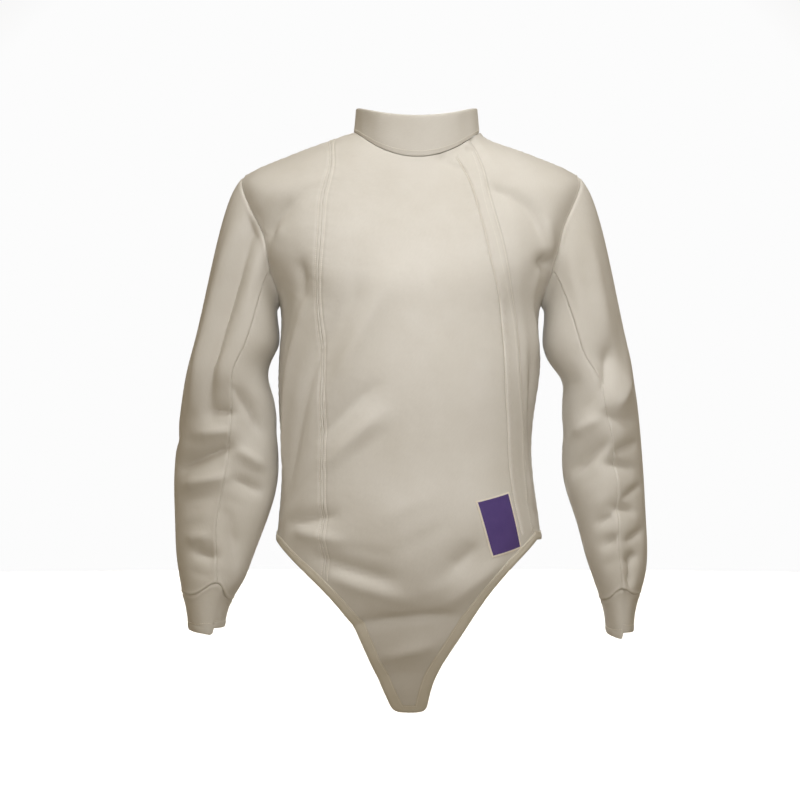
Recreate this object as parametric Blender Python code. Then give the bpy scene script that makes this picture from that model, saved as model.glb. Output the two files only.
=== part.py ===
"""Fencing jacket in heavy off-white drill, filled out as worn and held up at the neck.

Every cloth piece is a closed wall. The body is one smooth form of rings around a general figure,
and its panels are cut from a flat pattern plane that wraps onto that form. The sleeves start on
the armhole seams and run down through rings of stated girth. The wearer's front faces -Y, the
wearer's left is +X, and the origin is the middle of the neck at the level of the shoulder seams.
"""

import math

import bpy
import numpy as np
from mathutils import Vector
from mathutils.geometry import delaunay_2d_cdt

MM = 0.001

# Cloth and seams, in metres
BODY_WALL = 2.0 * MM
SLEEVE_WALL = 1.8 * MM
COLLAR_WALL = 3.0 * MM
TAPE_WALL = 1.0 * MM
LABEL_WALL = 0.8 * MM
ZIP_TAPE_WALL = 1.0 * MM
ZIP_CHAIN_HEIGHT = 2.4 * MM
SEAM_INSET = 0.2 * MM
LAY_GAP = 0.4 * MM
TAPE_WIDTH = 10.5 * MM
FLY_DEPTH = 3.6 * MM
FLY_RAMP = 18 * MM
FLY_UNDERLAP = 9 * MM
FOOT_GAP = 1.5 * MM
ZIP_WIDTH = 22 * MM
ZIP_CHAIN_WIDTH = 5 * MM

# Mesh spacing on the cloth
BODY_STEP = 24 * MM
SEAM_STEP = 18 * MM
SLEEVE_STEP = 17 * MM

# The body form, one row for each ring, in millimetres from the neck. The height is the ring's at
# the side; the drops lower it at the middle of the front and of the back.
BODY_COLUMNS = (
    "height", "half_width", "front", "back", "front_drop", "back_drop", "centre", "squareness",
)
BODY_RINGS = (
    (-800, 168, 16, 100, 0, 0, -11, 0.10),
    (-720, 172, 56, 101, 0, 0, -11, 0.10),
    (-640, 176, 92, 102, 0, 0, -11, 0.12),
    (-548, 177, 112, 99, 0, 0, -11, 0.14),
    (-490, 171, 113, 90, 0, 0, -12, 0.14),
    (-430, 167, 114, 87, 0, 0, -14, 0.14),
    (-370, 170, 120, 94, 0, 0, -13, 0.14),
    (-300, 175, 126, 106, 2, 2, -10, 0.14),
    (-227, 175, 128, 114, 5, 4, -9, 0.15),
    (-208, 182, 128, 115, 9, 6, -8, 0.15),
    (-184, 195, 127, 115, 16, 8, -8, 0.15),
    (-155, 208, 124, 113, 28, 11, -7, 0.15),
    (-125, 217, 119, 109, 37, 14, -7, 0.15),
    (-100, 225, 113, 104, 41, 16, -8, 0.15),
    (-72, 230, 104, 96, 43, 17, -8, 0.14),
    (-59, 225, 99, 91, 43, 17, -8, 0.13),
    (-46, 205, 94, 85, 43, 17, -8, 0.11),
    (-32, 171, 88, 79, 42, 16, -8, 0.09),
    (-19, 137, 82, 72, 41, 14, -9, 0.06),
    (-6, 101, 76, 64, 40, 11, -8, 0.03),
    (3, 84, 72, 60, 39, 10, 0, 0.02),
)
NECK_RING = 3 * MM
SIDE_HEM = -543 * MM

# Soft troughs (below zero) and ridges of the body cloth. Angles run round the body from the middle
# of the front, towards the wearer's left; heights, widths and depths are in millimetres.
BODY_RADIUS = 168
FOLD_COLUMNS = ("from_angle", "from_height", "to_angle", "to_height", "width", "depth")
BODY_FOLDS = (
    (-38, -92, -57, -142, 17, -7),
    (-45, -128, -60, -168, 13, 4),
    (-40, -176, -50, -226, 15, -6),
    (-46, -211, -78, -437, 15, 4),
    (-30, -235, -66, -470, 17, -4),
    (-17, -188, -38, -336, 20, -3),
    (-7, -190, -32, -345, 20, 3),
    (-34, -440, -10, -372, 16, 3),
    (-38, -405, -14, -340, 16, -3),
    (-31, -508, -60, -520, 13, -5),
    (-28, -541, -55, -527, 13, 4),
    (-40, -562, -8, -590, 15, -6),
    (-30, -588, -2, -620, 15, 4),
    (-22, -654, 18, -640, 18, -8),
    (-12, -696, 9, -680, 15, 5),
    (12, -628, 38, -568, 17, 4),
    (16, -578, 33, -520, 16, -4),
    (30, -80, 50, -150, 15, -5),
    (47, -120, 58, -165, 13, 4),
    (50, -172, 62, -182, 12, -7),
    (54, -190, 72, -285, 14, 3),
    (62, -300, 80, -420, 15, -4),
    (125, -100, 142, -165, 18, -6),
    (118, -150, 150, -250, 18, 4),
    (150, -330, 205, -350, 20, -3),
    (128, -415, 175, -432, 18, -5),
    (185, -440, 232, -420, 18, -5),
    (150, -470, 210, -475, 18, 4),
    (140, -505, 190, -520, 16, -4),
    (218, -165, 235, -100, 18, -6),
    (210, -250, 242, -150, 18, 4),
    (100, -250, 108, -420, 16, -4),
    (252, -250, 260, -420, 16, 4),
)

# Armhole seam on the body form: the turn round the seam from the shoulder tip towards the front,
# and the ring angle away from the front middle and ring height that it crosses there.
ARMHOLE_COLUMNS = ("turn", "angle", "height")
ARMHOLE_FRONT = (
    (0, 90.0, -57),
    (25, 77.0, -66),
    (50, 68.5, -84),
    (75, 64.0, -105),
    (100, 62.0, -128),
    (125, 63.5, -155),
    (150, 70.5, -189),
    (180, 90.0, -227),
)
UNDER_SLEEVE_COLUMNS = 8
UPPER_SLEEVE_COLUMNS = 14
SEAM_TURN = 0.345
CAP_ROWS = 9

# How the sleeve leaves the armhole: its share outwards, down and forwards, and the reach of that
# direction, at the shoulder tip, at the front (and back) and at the underarm
CAP_OUT = (0.93, 0.60, 0.75)
CAP_DOWN = (0.36, 0.70, 0.66)
CAP_BULGE = 0.45
CAP_REACH = (85, 70, 45)

# Girth of the sleeve cut, the same for both arms, down to the wrist
GIRTH_COLUMNS = ("height", "girth")
SLEEVE_GIRTHS = (
    (-289, 405),
    (-356, 392),
    (-410, 388),
    (-464, 385),
    (-518, 350),
    (-572, 305),
    (-599, 272),
    (-614, 248),
    (-630, 226),
    (-653, 212),
    (-680, 208),
)
SLEEVE_TOP = -289 * MM
CUFF_TOP = -613 * MM
CUFF_INNER_DIP = 9 * MM
CUFF_PEAK = {"right": 20 * MM, "left": 12 * MM}
CUFF_PEAK_TURN = 26.0

# How each sleeve hangs: its middle, half width seen from the front, how far forward it stands, and
# where its front seam runs (0 is the outer side, 90 the front and 180 the inner side)
HANG_COLUMNS = ("height", "centre", "half_width", "forward", "seam_angle")
RIGHT_HANG = (
    (-289, -246, 56, 0, 106),
    (-316, -255, 54, 0, 103),
    (-356, -255, 61, 0, 99),
    (-410, -256, 67, -3, 96),
    (-464, -258, 69, -3, 92),
    (-518, -264, 61, 6, 88),
    (-572, -272, 49, 18, 95),
    (-599, -275, 41, 25, 101),
    (-614, -278, 35, 28, 103),
    (-630, -280, 29, 31, 103),
    (-653, -281, 24, 35, 103),
    (-680, -281, 23, 39, 103),
)
LEFT_HANG = (
    (-289, 228, 56, 0, 101),
    (-302, 232, 55, 0, 99),
    (-329, 243, 48, 0, 94),
    (-356, 246, 49, 0, 90),
    (-410, 249, 52, -3, 81),
    (-464, 252, 53, -3, 77),
    (-518, 261, 46, 6, 84),
    (-572, 268, 39, 18, 92),
    (-599, 270, 32, 25, 92),
    (-614, 270, 27, 28, 92),
    (-630, 270, 22, 31, 92),
    (-653, 270, 18, 35, 92),
    (-680, 270, 17, 39, 92),
)
SLEEVE_RADIUS = 60
RIGHT_FOLDS = (
    (60, -104, 70, -375, 15, -7),
    (40, -130, 46, -360, 18, 4),
    (72, -372, 100, -374, 10, -5),
    (60, -402, 96, -396, 13, 4),
    (30, -446, 98, -420, 13, -8),
    (45, -470, 92, -458, 13, 5),
    (108, -345, 138, -404, 13, -6),
    (104, -420, 135, -445, 12, 4),
    (104, -462, 140, -480, 12, -5),
    (60, -556, 96, -564, 11, -6),
    (50, -540, 80, -538, 11, 3),
    (94, -498, 130, -575, 13, -4),
    (200, -330, 262, -350, 15, -5),
    (190, -400, 268, -440, 14, -6),
    (212, -430, 275, -470, 13, 4),
    (205, -470, 262, -505, 13, -5),
    (240, -150, 250, -300, 18, -5),
    (330, -400, 372, -410, 13, -3),
)
LEFT_FOLDS = (
    (72, -92, 78, -150, 14, -5),
    (45, -140, 60, -270, 18, 4),
    (62, -290, 92, -342, 15, -8),
    (38, -330, 72, -368, 15, 4),
    (44, -384, 86, -390, 9, -5),
    (46, -412, 84, -418, 9, -5),
    (42, -441, 82, -446, 9, -6),
    (42, -471, 80, -476, 9, -6),
    (44, -502, 82, -505, 9, -6),
    (44, -533, 84, -537, 9, -6),
    (52, -562, 80, -568, 11, -6),
    (92, -414, 138, -452, 13, -7),
    (100, -380, 136, -400, 13, 4),
    (92, -508, 120, -520, 10, -5),
    (92, -538, 118, -548, 10, -5),
    (66, -570, 74, -606, 11, -5),
    (200, -330, 262, -350, 15, -5),
    (190, -400, 268, -440, 14, -6),
    (212, -430, 275, -470, 13, 4),
    (205, -470, 262, -505, 13, -5),
    (240, -150, 250, -300, 18, -5),
)

# Seams and edges on the front, as seen from the front: distances from the middle of the neck
LINE_COLUMNS = ("across", "height")
PRINCESS_SEAM = (
    (-117, -7),
    (-114, -45),
    (-123, -86),
    (-126, -128),
    (-130, -190),
    (-128, -255),
    (-125, -335),
    (-124, -420),
    (-124, -505),
    (-121, -608),
)
FLY_EDGE = (
    (76, -20),
    (88, -50),
    (97, -88),
    (108, -130),
    (118, -177),
    (125, -220),
    (131, -262),
    (135, -310),
    (138, -350),
    (141, -395),
    (142, -440),
    (146, -480),
    (151, -516),
    (158, -541),
)
HEM_RIGHT = (
    (-188, -543),
    (-171, -560),
    (-147, -583),
    (-120, -609),
    (-104, -627),
    (-79, -664),
    (-62, -701),
    (-47, -735),
    (-31, -773),
)
HEM_LEFT = (
    (11, -773),
    (18, -738),
    (37, -697),
    (62, -658),
    (86, -620),
    (113, -586),
    (138, -561),
    (158, -541),
)
BACK_HEM_DIP = 14 * MM
LABEL_CORNER = (73, -484)
LABEL_SIZE = (49 * MM, 77 * MM)
LABEL_TURN = 14.0
LABEL_STEP = 9 * MM

# Stand collar
COLLAR_START = 46.0
COLLAR_END = 438.0
COLLAR_SINK = 3.8 * MM
COLLAR_COLUMNS = 44
COLLAR_ROWS = 3
COLLAR_SEAT = 1.4 * MM
COLLAR_TOP = {"front": 20 * MM, "side": 36 * MM, "back": 30 * MM}
COLLAR_LEAN = {"front": 2 * MM, "side": 3 * MM}

# Cuffs: a band round each wrist whose front end laps over the other
CUFF_ROWS = 4
CUFF_STEP_LEAST = 2.5
CUFF_LAP = 36.0
CUFF_SINK = 2.4 * MM
CUFF_WALL = 1.8 * MM
CUFF_HEM = {"right": -658 * MM, "left": -663 * MM}
CUFF_HEM_STEP = 12 * MM

COLOURS = {
    "cloth": (0.72, 0.69, 0.60),
    "tape": (0.74, 0.71, 0.63),
    "zip": (0.70, 0.68, 0.62),
    "label": (0.10, 0.05, 0.22),
}


def clear_scene():
    for thing in list(bpy.data.objects):
        bpy.data.objects.remove(thing)


def material(name, colour, roughness):
    made = bpy.data.materials.new(name)
    made.use_nodes = True
    shader = made.node_tree.nodes["Principled BSDF"]
    shader.inputs["Base Color"].default_value = (*colour, 1.0)
    shader.inputs["Roughness"].default_value = roughness
    shader.inputs["Metallic"].default_value = 0.0
    return made


def spline(knots, values):
    """A natural cubic spline through the values at the knots, which rise."""
    knots = np.asarray(knots, float)
    values = np.asarray(values, float)
    gaps = np.diff(knots)
    slopes = np.diff(values) / gaps
    count = len(knots)
    system = np.eye(count)
    right_side = np.zeros(count)
    for i in range(1, count - 1):
        system[i, i - 1 : i + 2] = (gaps[i - 1], 2 * (gaps[i - 1] + gaps[i]), gaps[i])
        right_side[i] = 6 * (slopes[i] - slopes[i - 1])
    bend = np.linalg.solve(system, right_side)

    def at(x):
        x = np.clip(x, knots[0], knots[-1])
        i = np.clip(np.searchsorted(knots, x) - 1, 0, count - 2)
        before, after, gap = x - knots[i], knots[i + 1] - x, gaps[i]
        curved = (bend[i] * after**3 + bend[i + 1] * before**3) / (6 * gap)
        first = (values[i] / gap - bend[i] * gap / 6) * after
        second = (values[i + 1] / gap - bend[i + 1] * gap / 6) * before
        return curved + first + second

    return at


def columns_of(names, rows, key, scales):
    """A spline over the key column for each other column of a table."""
    table = {name: [row[i] for row in rows] for i, name in enumerate(names)}
    order = np.argsort(table[key])
    knots = np.array(table[key], float)[order] * scales.get(key, MM)
    found = {}
    for name in names:
        if name != key:
            found[name] = spline(knots, np.array(table[name], float)[order] * scales.get(name, MM))
    return found


BODY = columns_of(BODY_COLUMNS, BODY_RINGS, "height", {"squareness": 1.0})


def fold_height(angle, height, folds, radius):
    """How far the folds move the cloth outwards, at angles in degrees and heights in metres."""
    moved = np.zeros(np.broadcast(angle, height).shape)
    across = np.radians(angle) * radius * MM
    whole_turn = 2 * math.pi * radius * MM
    for row in folds:
        fold = dict(zip(FOLD_COLUMNS, row))
        start = np.array([math.radians(fold["from_angle"]) * radius, fold["from_height"]]) * MM
        end = np.array([math.radians(fold["to_angle"]) * radius, fold["to_height"]]) * MM
        run = end - start
        middle = (start[0] + end[0]) / 2
        near = across - np.round((across - middle) / whole_turn) * whole_turn
        along = ((near - start[0]) * run[0] + (height - start[1]) * run[1]) / (run @ run)
        along = np.clip(along, 0, 1)
        away = np.hypot(near - start[0] - along * run[0], height - start[1] - along * run[1])
        fading = 1 - 0.6 * np.abs(2 * along - 1) ** 3
        moved = moved + fold["depth"] * MM * fading * np.exp(-((away / (fold["width"] * MM)) ** 2))
    return moved


def body_form(angle, height):
    """Points of the plain body form. The angle is in radians from the front middle."""
    ring = {name: value(height) for name, value in BODY.items()}
    sine, cosine = np.sin(angle), np.cos(angle)
    depth = np.where(cosine > 0, ring["front"], ring["back"])
    drop = np.where(cosine > 0, ring["front_drop"], ring["back_drop"])
    x = ring["centre"] + ring["half_width"] * sine * (1 + ring["squareness"] * cosine**2)
    y = -depth * cosine * (1 + ring["squareness"] * sine**2)
    return np.stack([x, y, height - drop * cosine**2], axis=-1)


def slope_normals(surface, first, second, steps):
    """Unit normals of a surface of two numbers, from its slopes."""
    along_first = surface(first + steps[0], second) - surface(first - steps[0], second)
    along_second = surface(first, second + steps[1]) - surface(first, second - steps[1])
    normals = np.cross(along_first, along_second)
    return normals / np.linalg.norm(normals, axis=-1, keepdims=True)


FINE_STEPS = (1e-4, 1e-5)


def body_cloth(angle, height):
    """The body form with its folds."""
    flat = body_form(angle, height)
    normals = slope_normals(body_form, angle, height, FINE_STEPS)
    folds = fold_height(np.degrees(angle), flat[..., 2], BODY_FOLDS, BODY_RADIUS)
    return flat + normals * folds[..., None]


def sunk_cloth(sink):
    """The body cloth moved inwards by a function of angle and height."""

    def surface(angle, height):
        normals = slope_normals(body_cloth, angle, height, FINE_STEPS)
        return body_cloth(angle, height) - normals * sink(angle, height)[..., None]

    return surface


HEIGHTS = np.linspace(BODY_RINGS[0][0] * MM, NECK_RING, 900)


def ring_radius(height):
    """Half of a ring's length over pi, which turns angles into distances on the pattern plane."""
    angles = np.linspace(-math.pi, math.pi, 121)
    points = body_form(angles[None, :], np.asarray(height)[:, None])
    return np.linalg.norm(np.diff(points, axis=1), axis=2).sum(axis=1) / (2 * math.pi)


RADII = ring_radius(HEIGHTS)
MERIDIAN = body_form(np.full_like(HEIGHTS, math.radians(45)), HEIGHTS)
LENGTHS = np.concatenate([[0], np.cumsum(np.linalg.norm(np.diff(MERIDIAN, axis=0), axis=1))])


def to_pattern(angle, height, centre=0.0):
    """The point of a pattern plane, laid flat about a centre angle, for an angle and a height."""
    radius = np.interp(height, HEIGHTS, RADII)
    return np.stack([(angle - centre) * radius, np.interp(height, HEIGHTS, LENGTHS)], axis=-1)


def from_pattern(points, centre=0.0):
    """The angle and ring height of points on a pattern plane."""
    height = np.interp(points[..., 1], LENGTHS, HEIGHTS)
    return points[..., 0] / np.interp(height, HEIGHTS, RADII) + centre, height


def angle_across(across, height):
    """The ring angle at which the front of a ring reaches a distance across."""
    reach = (across - BODY["centre"](height)) / BODY["half_width"](height)
    angle = np.zeros_like(reach)
    for _ in range(12):
        share = reach / (1 + BODY["squareness"](height) * np.cos(angle) ** 2)
        angle = np.arcsin(np.clip(share, -1, 1))
    return angle


def front_to_ring(across, z):
    """The angles and ring heights of front points at distances across and true heights."""
    low, high = np.array(z, float), np.full_like(z, NECK_RING)
    for _ in range(40):
        height = (low + high) / 2
        drop = BODY["front_drop"](height) * np.cos(angle_across(across, height)) ** 2
        above = height - drop > z
        high = np.where(above, height, high)
        low = np.where(above, low, height)
    return angle_across(across, high), high


def evenly(points, step, count=None):
    """Points along a line of points, the same distance apart, with both ends kept."""
    points = np.asarray(points, float)
    lengths = np.concatenate([[0], np.cumsum(np.linalg.norm(np.diff(points, axis=0), axis=1))])
    count = count or max(2, round(lengths[-1] / step) + 1)
    wanted = np.linspace(0, lengths[-1], count)
    return np.stack([np.interp(wanted, lengths, points[:, i]) for i in range(points.shape[1])], axis=1)


def smooth_line(rows):
    """A smooth dense line through rows of front-view points, in metres."""
    rows = np.array(rows, float) * MM
    lengths = np.concatenate([[0], np.cumsum(np.linalg.norm(np.diff(rows, axis=0), axis=1))])
    wanted = np.linspace(0, lengths[-1], 240)
    return np.stack([spline(lengths, rows[:, i])(wanted) for i in range(2)], axis=1)


def front_line(rows, step=SEAM_STEP):
    """A seam given by front-view points, as evenly spaced pattern points."""
    return evenly(to_pattern(*front_to_ring(*smooth_line(rows).T)), step)


def ring_line(angles, height, step=SEAM_STEP):
    """A stretch of one ring between two angles in degrees."""
    turns = np.radians(np.linspace(*angles, 60))
    return evenly(to_pattern(turns, np.full_like(turns, height)), step)


def rise_line(angle, heights, step=SEAM_STEP):
    """A seam up the body at one angle in degrees, between two ring heights."""
    rise = np.linspace(*heights, 200)
    return evenly(to_pattern(np.full_like(rise, math.radians(angle)), rise), step)


def armhole_splines():
    """Smooth closed curves through the armhole table, mirrored from front to back."""
    table = np.array(ARMHOLE_FRONT, float)
    turns = np.concatenate([table[:, 0] - 360, -table[-2:0:-1, 0], table[:-1, 0], 360 - table[::-1, 0]])
    away = 90 - table[:, 1]
    swing = np.concatenate([away, -away[-2:0:-1], away[:-1], -away[::-1]])
    rise = table[:, 2]
    rises = np.concatenate([rise, rise[-2:0:-1], rise[:-1], rise[::-1]])
    return spline(turns, swing), spline(turns, rises)


ARMHOLE_SWING, ARMHOLE_RISE = armhole_splines()


def armhole_turns(turn):
    """Angle in degrees and ring height at a share of a turn round the armhole, 0 at the tip."""
    degrees = (np.asarray(turn) * 360 + 180) % 360 - 180
    return 90 - ARMHOLE_SWING(degrees), ARMHOLE_RISE(degrees) * MM


def armhole_shares():
    """Shares of a turn for the evenly spaced stations of each half of the armhole seam."""
    dense = np.linspace(0, 1, 721)
    angle, height = armhole_turns(dense)
    points = body_form(np.radians(angle), height)
    lengths = np.concatenate([[0], np.cumsum(np.linalg.norm(np.diff(points, axis=0), axis=1))])
    underarm = lengths[360]
    lengths = np.interp(lengths, (0, underarm, lengths[-1]), (0, 0.5, 1))
    under = np.linspace(SEAM_TURN, 1 - SEAM_TURN, UNDER_SLEEVE_COLUMNS + 1)
    upper = np.linspace(1 - SEAM_TURN, 1 + SEAM_TURN, UPPER_SLEEVE_COLUMNS + 1)
    return np.interp(under, lengths, dense), np.interp(upper % 1.0, lengths, dense)


UNDER_SHARES, UPPER_SHARES = armhole_shares()
UNDER_TURNS = np.linspace(0, 1, UNDER_SLEEVE_COLUMNS + 1)
UPPER_TURNS = np.linspace(1, 2, UPPER_SLEEVE_COLUMNS + 1)


def armhole_pattern(side, shares):
    """Pattern points of the armhole seam, for the wearer's right (-1) or left (1) side."""
    angle, height = armhole_turns(shares)
    return to_pattern(side * np.radians(angle), height)


def front_armhole(side):
    """The front half of the armhole seam, from the underarm up to the shoulder tip."""
    half = UNDER_SLEEVE_COLUMNS // 2
    under = UNDER_SHARES[half::-1]
    upper = UPPER_SHARES[: UPPER_SLEEVE_COLUMNS // 2 - 1 : -1]
    return armhole_pattern(side, np.concatenate([under, upper[1:]]))


def back_armhole(side):
    """The back half of the armhole seam, from the underarm up to the shoulder tip."""
    half = UNDER_SLEEVE_COLUMNS // 2
    upper = UPPER_SHARES[1 : UPPER_SLEEVE_COLUMNS // 2 + 1]
    return armhole_pattern(side, np.concatenate([UNDER_SHARES[half:], upper]))


def turned_in(outline, inset):
    """A closed outline, anticlockwise, moved inwards by an inset."""
    before = outline - np.roll(outline, 1, axis=0)
    after = np.roll(outline, -1, axis=0) - outline
    before /= np.linalg.norm(before, axis=1, keepdims=True)
    after /= np.linalg.norm(after, axis=1, keepdims=True)
    inward = np.stack([-before[:, 1] - after[:, 1], before[:, 0] + after[:, 0]], axis=1)
    length = np.linalg.norm(inward, axis=1, keepdims=True)
    inward /= np.maximum(length, 1e-9)
    lean = np.maximum(length[:, 0] / 2, 0.35)
    return outline + inward * (inset / lean)[:, None]


def inside(outline, points):
    """Which points lie inside a closed outline."""
    found = np.zeros(len(points), bool)
    x, y = points[:, 0], points[:, 1]
    for (x1, y1), (x2, y2) in zip(outline, np.roll(outline, -1, axis=0)):
        crosses = (y1 > y) != (y2 > y)
        if y1 != y2:
            found ^= crosses & (x < (x2 - x1) * (y - y1) / (y2 - y1) + x1)
    return found


def distance_to_line(line, points):
    """Each point's distance from an open line of points."""
    nearest = np.full(len(points), np.inf)
    for start, end in zip(line[:-1], line[1:]):
        run = end - start
        share = np.clip(((points - start) @ run) / max(run @ run, 1e-18), 0, 1)
        nearest = np.minimum(nearest, np.linalg.norm(points - start - share[:, None] * run, axis=1))
    return nearest


def distance_to(outline, points):
    """Each point's distance from a closed outline."""
    return distance_to_line(np.concatenate([outline, outline[:1]]), points)


def filled(outline, step, kept=(), patch=None, patch_step=None, ties=()):
    """Points and triangles that fill an outline with an even lattice. Kept lines and the edges
    of a patch become edges, and so does each tie between two of their points."""
    low, high = outline.min(axis=0), outline.max(axis=0)
    row_step = step * math.sqrt(3) / 2
    lattice = []
    for j, y in enumerate(np.arange(low[1] + row_step / 2, high[1], row_step)):
        shift = step / 2 if j % 2 else 0.0
        lattice += [(x, y) for x in np.arange(low[0] + shift, high[0], step)]
    lattice = np.array(lattice)
    lattice = lattice[inside(outline, lattice)]
    lattice = lattice[distance_to(outline, lattice) > 0.55 * step]
    rings, edges = [outline], []
    count = len(outline)
    for line in kept:
        lattice = lattice[distance_to_line(line, lattice) > 0.45 * step]
        edges += [(count + i, count + i + 1) for i in range(len(line) - 1)]
        rings.append(line)
        count += len(line)
    if patch is not None:
        lattice = lattice[~inside(patch, lattice)]
        lattice = lattice[distance_to(patch, lattice) > 0.6 * patch_step]
        ring = [count + i for i in range(len(patch))]
        edges += list(zip(ring, ring[1:] + ring[:1]))
        rings.append(patch)
    points = np.concatenate([*rings, lattice])
    for pair in ties:
        edges.append(tuple(int(np.argmin(np.linalg.norm(points - end, axis=1))) for end in pair))
    loop = [list(range(len(outline)))]
    made = delaunay_2d_cdt([Vector(p) for p in points], edges, loop, 1, 1e-6)
    return np.array([tuple(p) for p in made[0]]), np.array([tuple(f) for f in made[2]])


def border(triangles):
    """The directed edges that only one triangle uses."""
    edges = {(f[i], f[(i + 1) % 3]) for f in triangles for i in range(3)}
    return [(a, b) for a, b in edges if (b, a) not in edges]


def outward(points, faces):
    """The faces of a closed body, all turned round when they face inwards."""
    points = np.asarray(points)
    volume = 0.0
    for face in faces:
        first = points[face[0]]
        for a, b in zip(face[1:-1], face[2:]):
            volume += np.dot(first, np.cross(points[a], points[b]))
    return faces if volume > 0 else [tuple(reversed(face)) for face in faces]


def add_object(name, points, faces, surface_material):
    faces = outward(points, faces)
    mesh = bpy.data.meshes.new(name)
    mesh.from_pydata([tuple(p) for p in points], [], [tuple(f) for f in faces])
    mesh.validate()
    mesh.shade_smooth()
    mesh.set_sharp_from_angle(angle=math.radians(50))
    made = bpy.data.objects.new(name, mesh)
    made.data.materials.append(surface_material)
    bpy.context.scene.collection.objects.link(made)
    return made


def wall(name, middles, normals, triangles, low, high, surface_material):
    """A closed wall between two distances from the middle surface, along its normals."""
    count = len(middles)
    points = np.concatenate([middles + normals * high, middles + normals * low])
    faces = [tuple(f) for f in triangles]
    faces += [tuple(int(i) + count for i in reversed(f)) for f in triangles]
    for a, b in sorted(border([tuple(f) for f in triangles])):
        faces.append((b, a, a + count))
        faces.append((b, a + count, b + count))
    return add_object(name, points, faces, surface_material)


def cloth_panel(name, outline, surface, fabric, kept=(), patch=None, ties=(), centre=0.0):
    """A body panel cut from the pattern plane and wrapped onto the body."""
    outline = turned_in(outline, SEAM_INSET)
    flat, triangles = filled(outline, BODY_STEP, kept, patch, LABEL_STEP, ties)
    angle, height = from_pattern(flat, centre)
    middles = surface(angle, height)
    normals = slope_normals(surface, angle, height, FINE_STEPS)
    half = BODY_WALL / 2
    wall(name, middles, normals, triangles, -half, half, fabric)
    return flat, triangles, middles, normals


def joined(*lines):
    """One closed outline from lines that follow each other, with shared ends kept once."""
    return np.concatenate([line[:-1] for line in lines])


def inner_line(line, width, first_way, last_way):
    """A line moved to its left by a width, its ends sliding along the seams they stand on."""
    runs = np.diff(line, axis=0)
    runs /= np.linalg.norm(runs, axis=1, keepdims=True)
    sides = np.stack([-runs[:, 1], runs[:, 0]], axis=1)
    both = sides[:-1] + sides[1:]
    moved = line.copy()
    moved[1:-1] += both * (2 * width / np.sum(both**2, axis=1))[:, None]
    for end, way, side in ((0, first_way, sides[0]), (-1, last_way, sides[-1])):
        moved[end] += way * (width / (way @ side))
    return moved


def with_stop(line, stop):
    """A line with one stop set in near its last point, so that a tape's edge can share it."""
    reach = np.linalg.norm(stop - line[-1])
    kept = [p for p in line[:-1] if np.linalg.norm(p - line[-1]) > reach + 6 * MM]
    return np.array([*kept, stop, line[-1]])


def way_of(line):
    """The unit direction from a line's last point back along it."""
    back = line[-2] - line[-1]
    return back / np.linalg.norm(back)


def fly_sink(edge):
    """How deep the under layer lies: full depth under the fly, none a little way past its edge."""
    line = evenly(edge, 4 * MM)

    def sink(angle, height):
        points = to_pattern(angle, height)
        line_x = np.interp(points[..., 1], line[:, 1], line[:, 0])
        past = np.clip((points[..., 0] - line_x) / FLY_RAMP, 0, 1)
        return FLY_DEPTH * (1 - past**2 * (3 - 2 * past))

    return sink


def body_lines():
    """Every seam and edge of the body panels, as pattern points."""
    lines = {
        "princess": front_line(PRINCESS_SEAM),
        "fly": front_line(FLY_EDGE),
        "hem_right": front_line(HEM_RIGHT, 14 * MM),
        "hem_left": front_line(HEM_LEFT, 14 * MM),
        "side_right": rise_line(-90, (SIDE_HEM, -227 * MM)),
        "side_left": rise_line(90, (SIDE_HEM, -227 * MM)),
    }
    lines["hem_right"][0] = lines["side_right"][0]
    nearest = np.argmin(np.linalg.norm(lines["hem_right"] - lines["princess"][-1], axis=1))
    lines["princess"][-1] = lines["hem_right"][nearest]
    lines["princess_foot"] = int(nearest)
    lines["fly"][-1] = lines["hem_left"][-1]
    tail = evenly([lines["hem_right"][-1], lines["hem_left"][0]], 12 * MM)
    lines["tail_end"] = tail
    hem = np.concatenate([lines["hem_right"][:-1], tail[:-1], lines["hem_left"]])
    lines["hem"] = hem
    rail = inner_line(hem, TAPE_WIDTH, way_of(lines["side_right"][::-1]), way_of(lines["fly"]))
    lines["rail"] = rail
    lines["princess"] = with_stop(lines["princess"], rail[nearest])
    lines["fly"] = with_stop(lines["fly"], rail[-1])
    lines["side_right"] = with_stop(lines["side_right"][::-1], rail[0])[::-1]
    princess_angle, princess_ring = from_pattern(lines["princess"][0])
    lines["princess"][0] = to_pattern(math.radians(-90), princess_ring)
    tip = armhole_turns(0.0)[1]
    lines["shoulder_right"] = rise_line(-90, (tip, princess_ring))
    lines["shoulder_neck"] = rise_line(-90, (princess_ring, NECK_RING))
    lines["shoulder_left"] = rise_line(90, (tip, NECK_RING))
    fly_angle = math.degrees(from_pattern(lines["fly"][0])[0])
    lines["fly"][0] = to_pattern(math.radians(fly_angle), NECK_RING)
    lines["neck_front"] = ring_line((fly_angle, -90), NECK_RING, 13 * MM)
    lines["neck_back"] = ring_line((270, 90), NECK_RING, 13 * MM)
    lines["fly_angle"] = fly_angle
    return lines


def hem_ties(edge, rail):
    """Pairs of points that split the strip under a hem tape as the tape itself is split."""
    square = list(zip(edge, rail))
    return square[1:-1] + list(zip(edge[1:], rail[:-1]))


def label_outline():
    """The label's corners and edge points on the pattern plane, anticlockwise."""
    corner = to_pattern(*front_to_ring(*(np.array(v * MM) for v in LABEL_CORNER)))
    turn = math.radians(LABEL_TURN)
    along = np.array([math.cos(turn), math.sin(turn)])
    up = np.array([-math.sin(turn), math.cos(turn)])
    wide, tall = LABEL_SIZE
    corners = [corner - up * tall, corner - up * tall + along * wide, corner + along * wide, corner]
    edges = [evenly([corners[i], corners[(i + 1) % 4]], LABEL_STEP) for i in range(4)]
    return joined(*edges)


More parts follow.
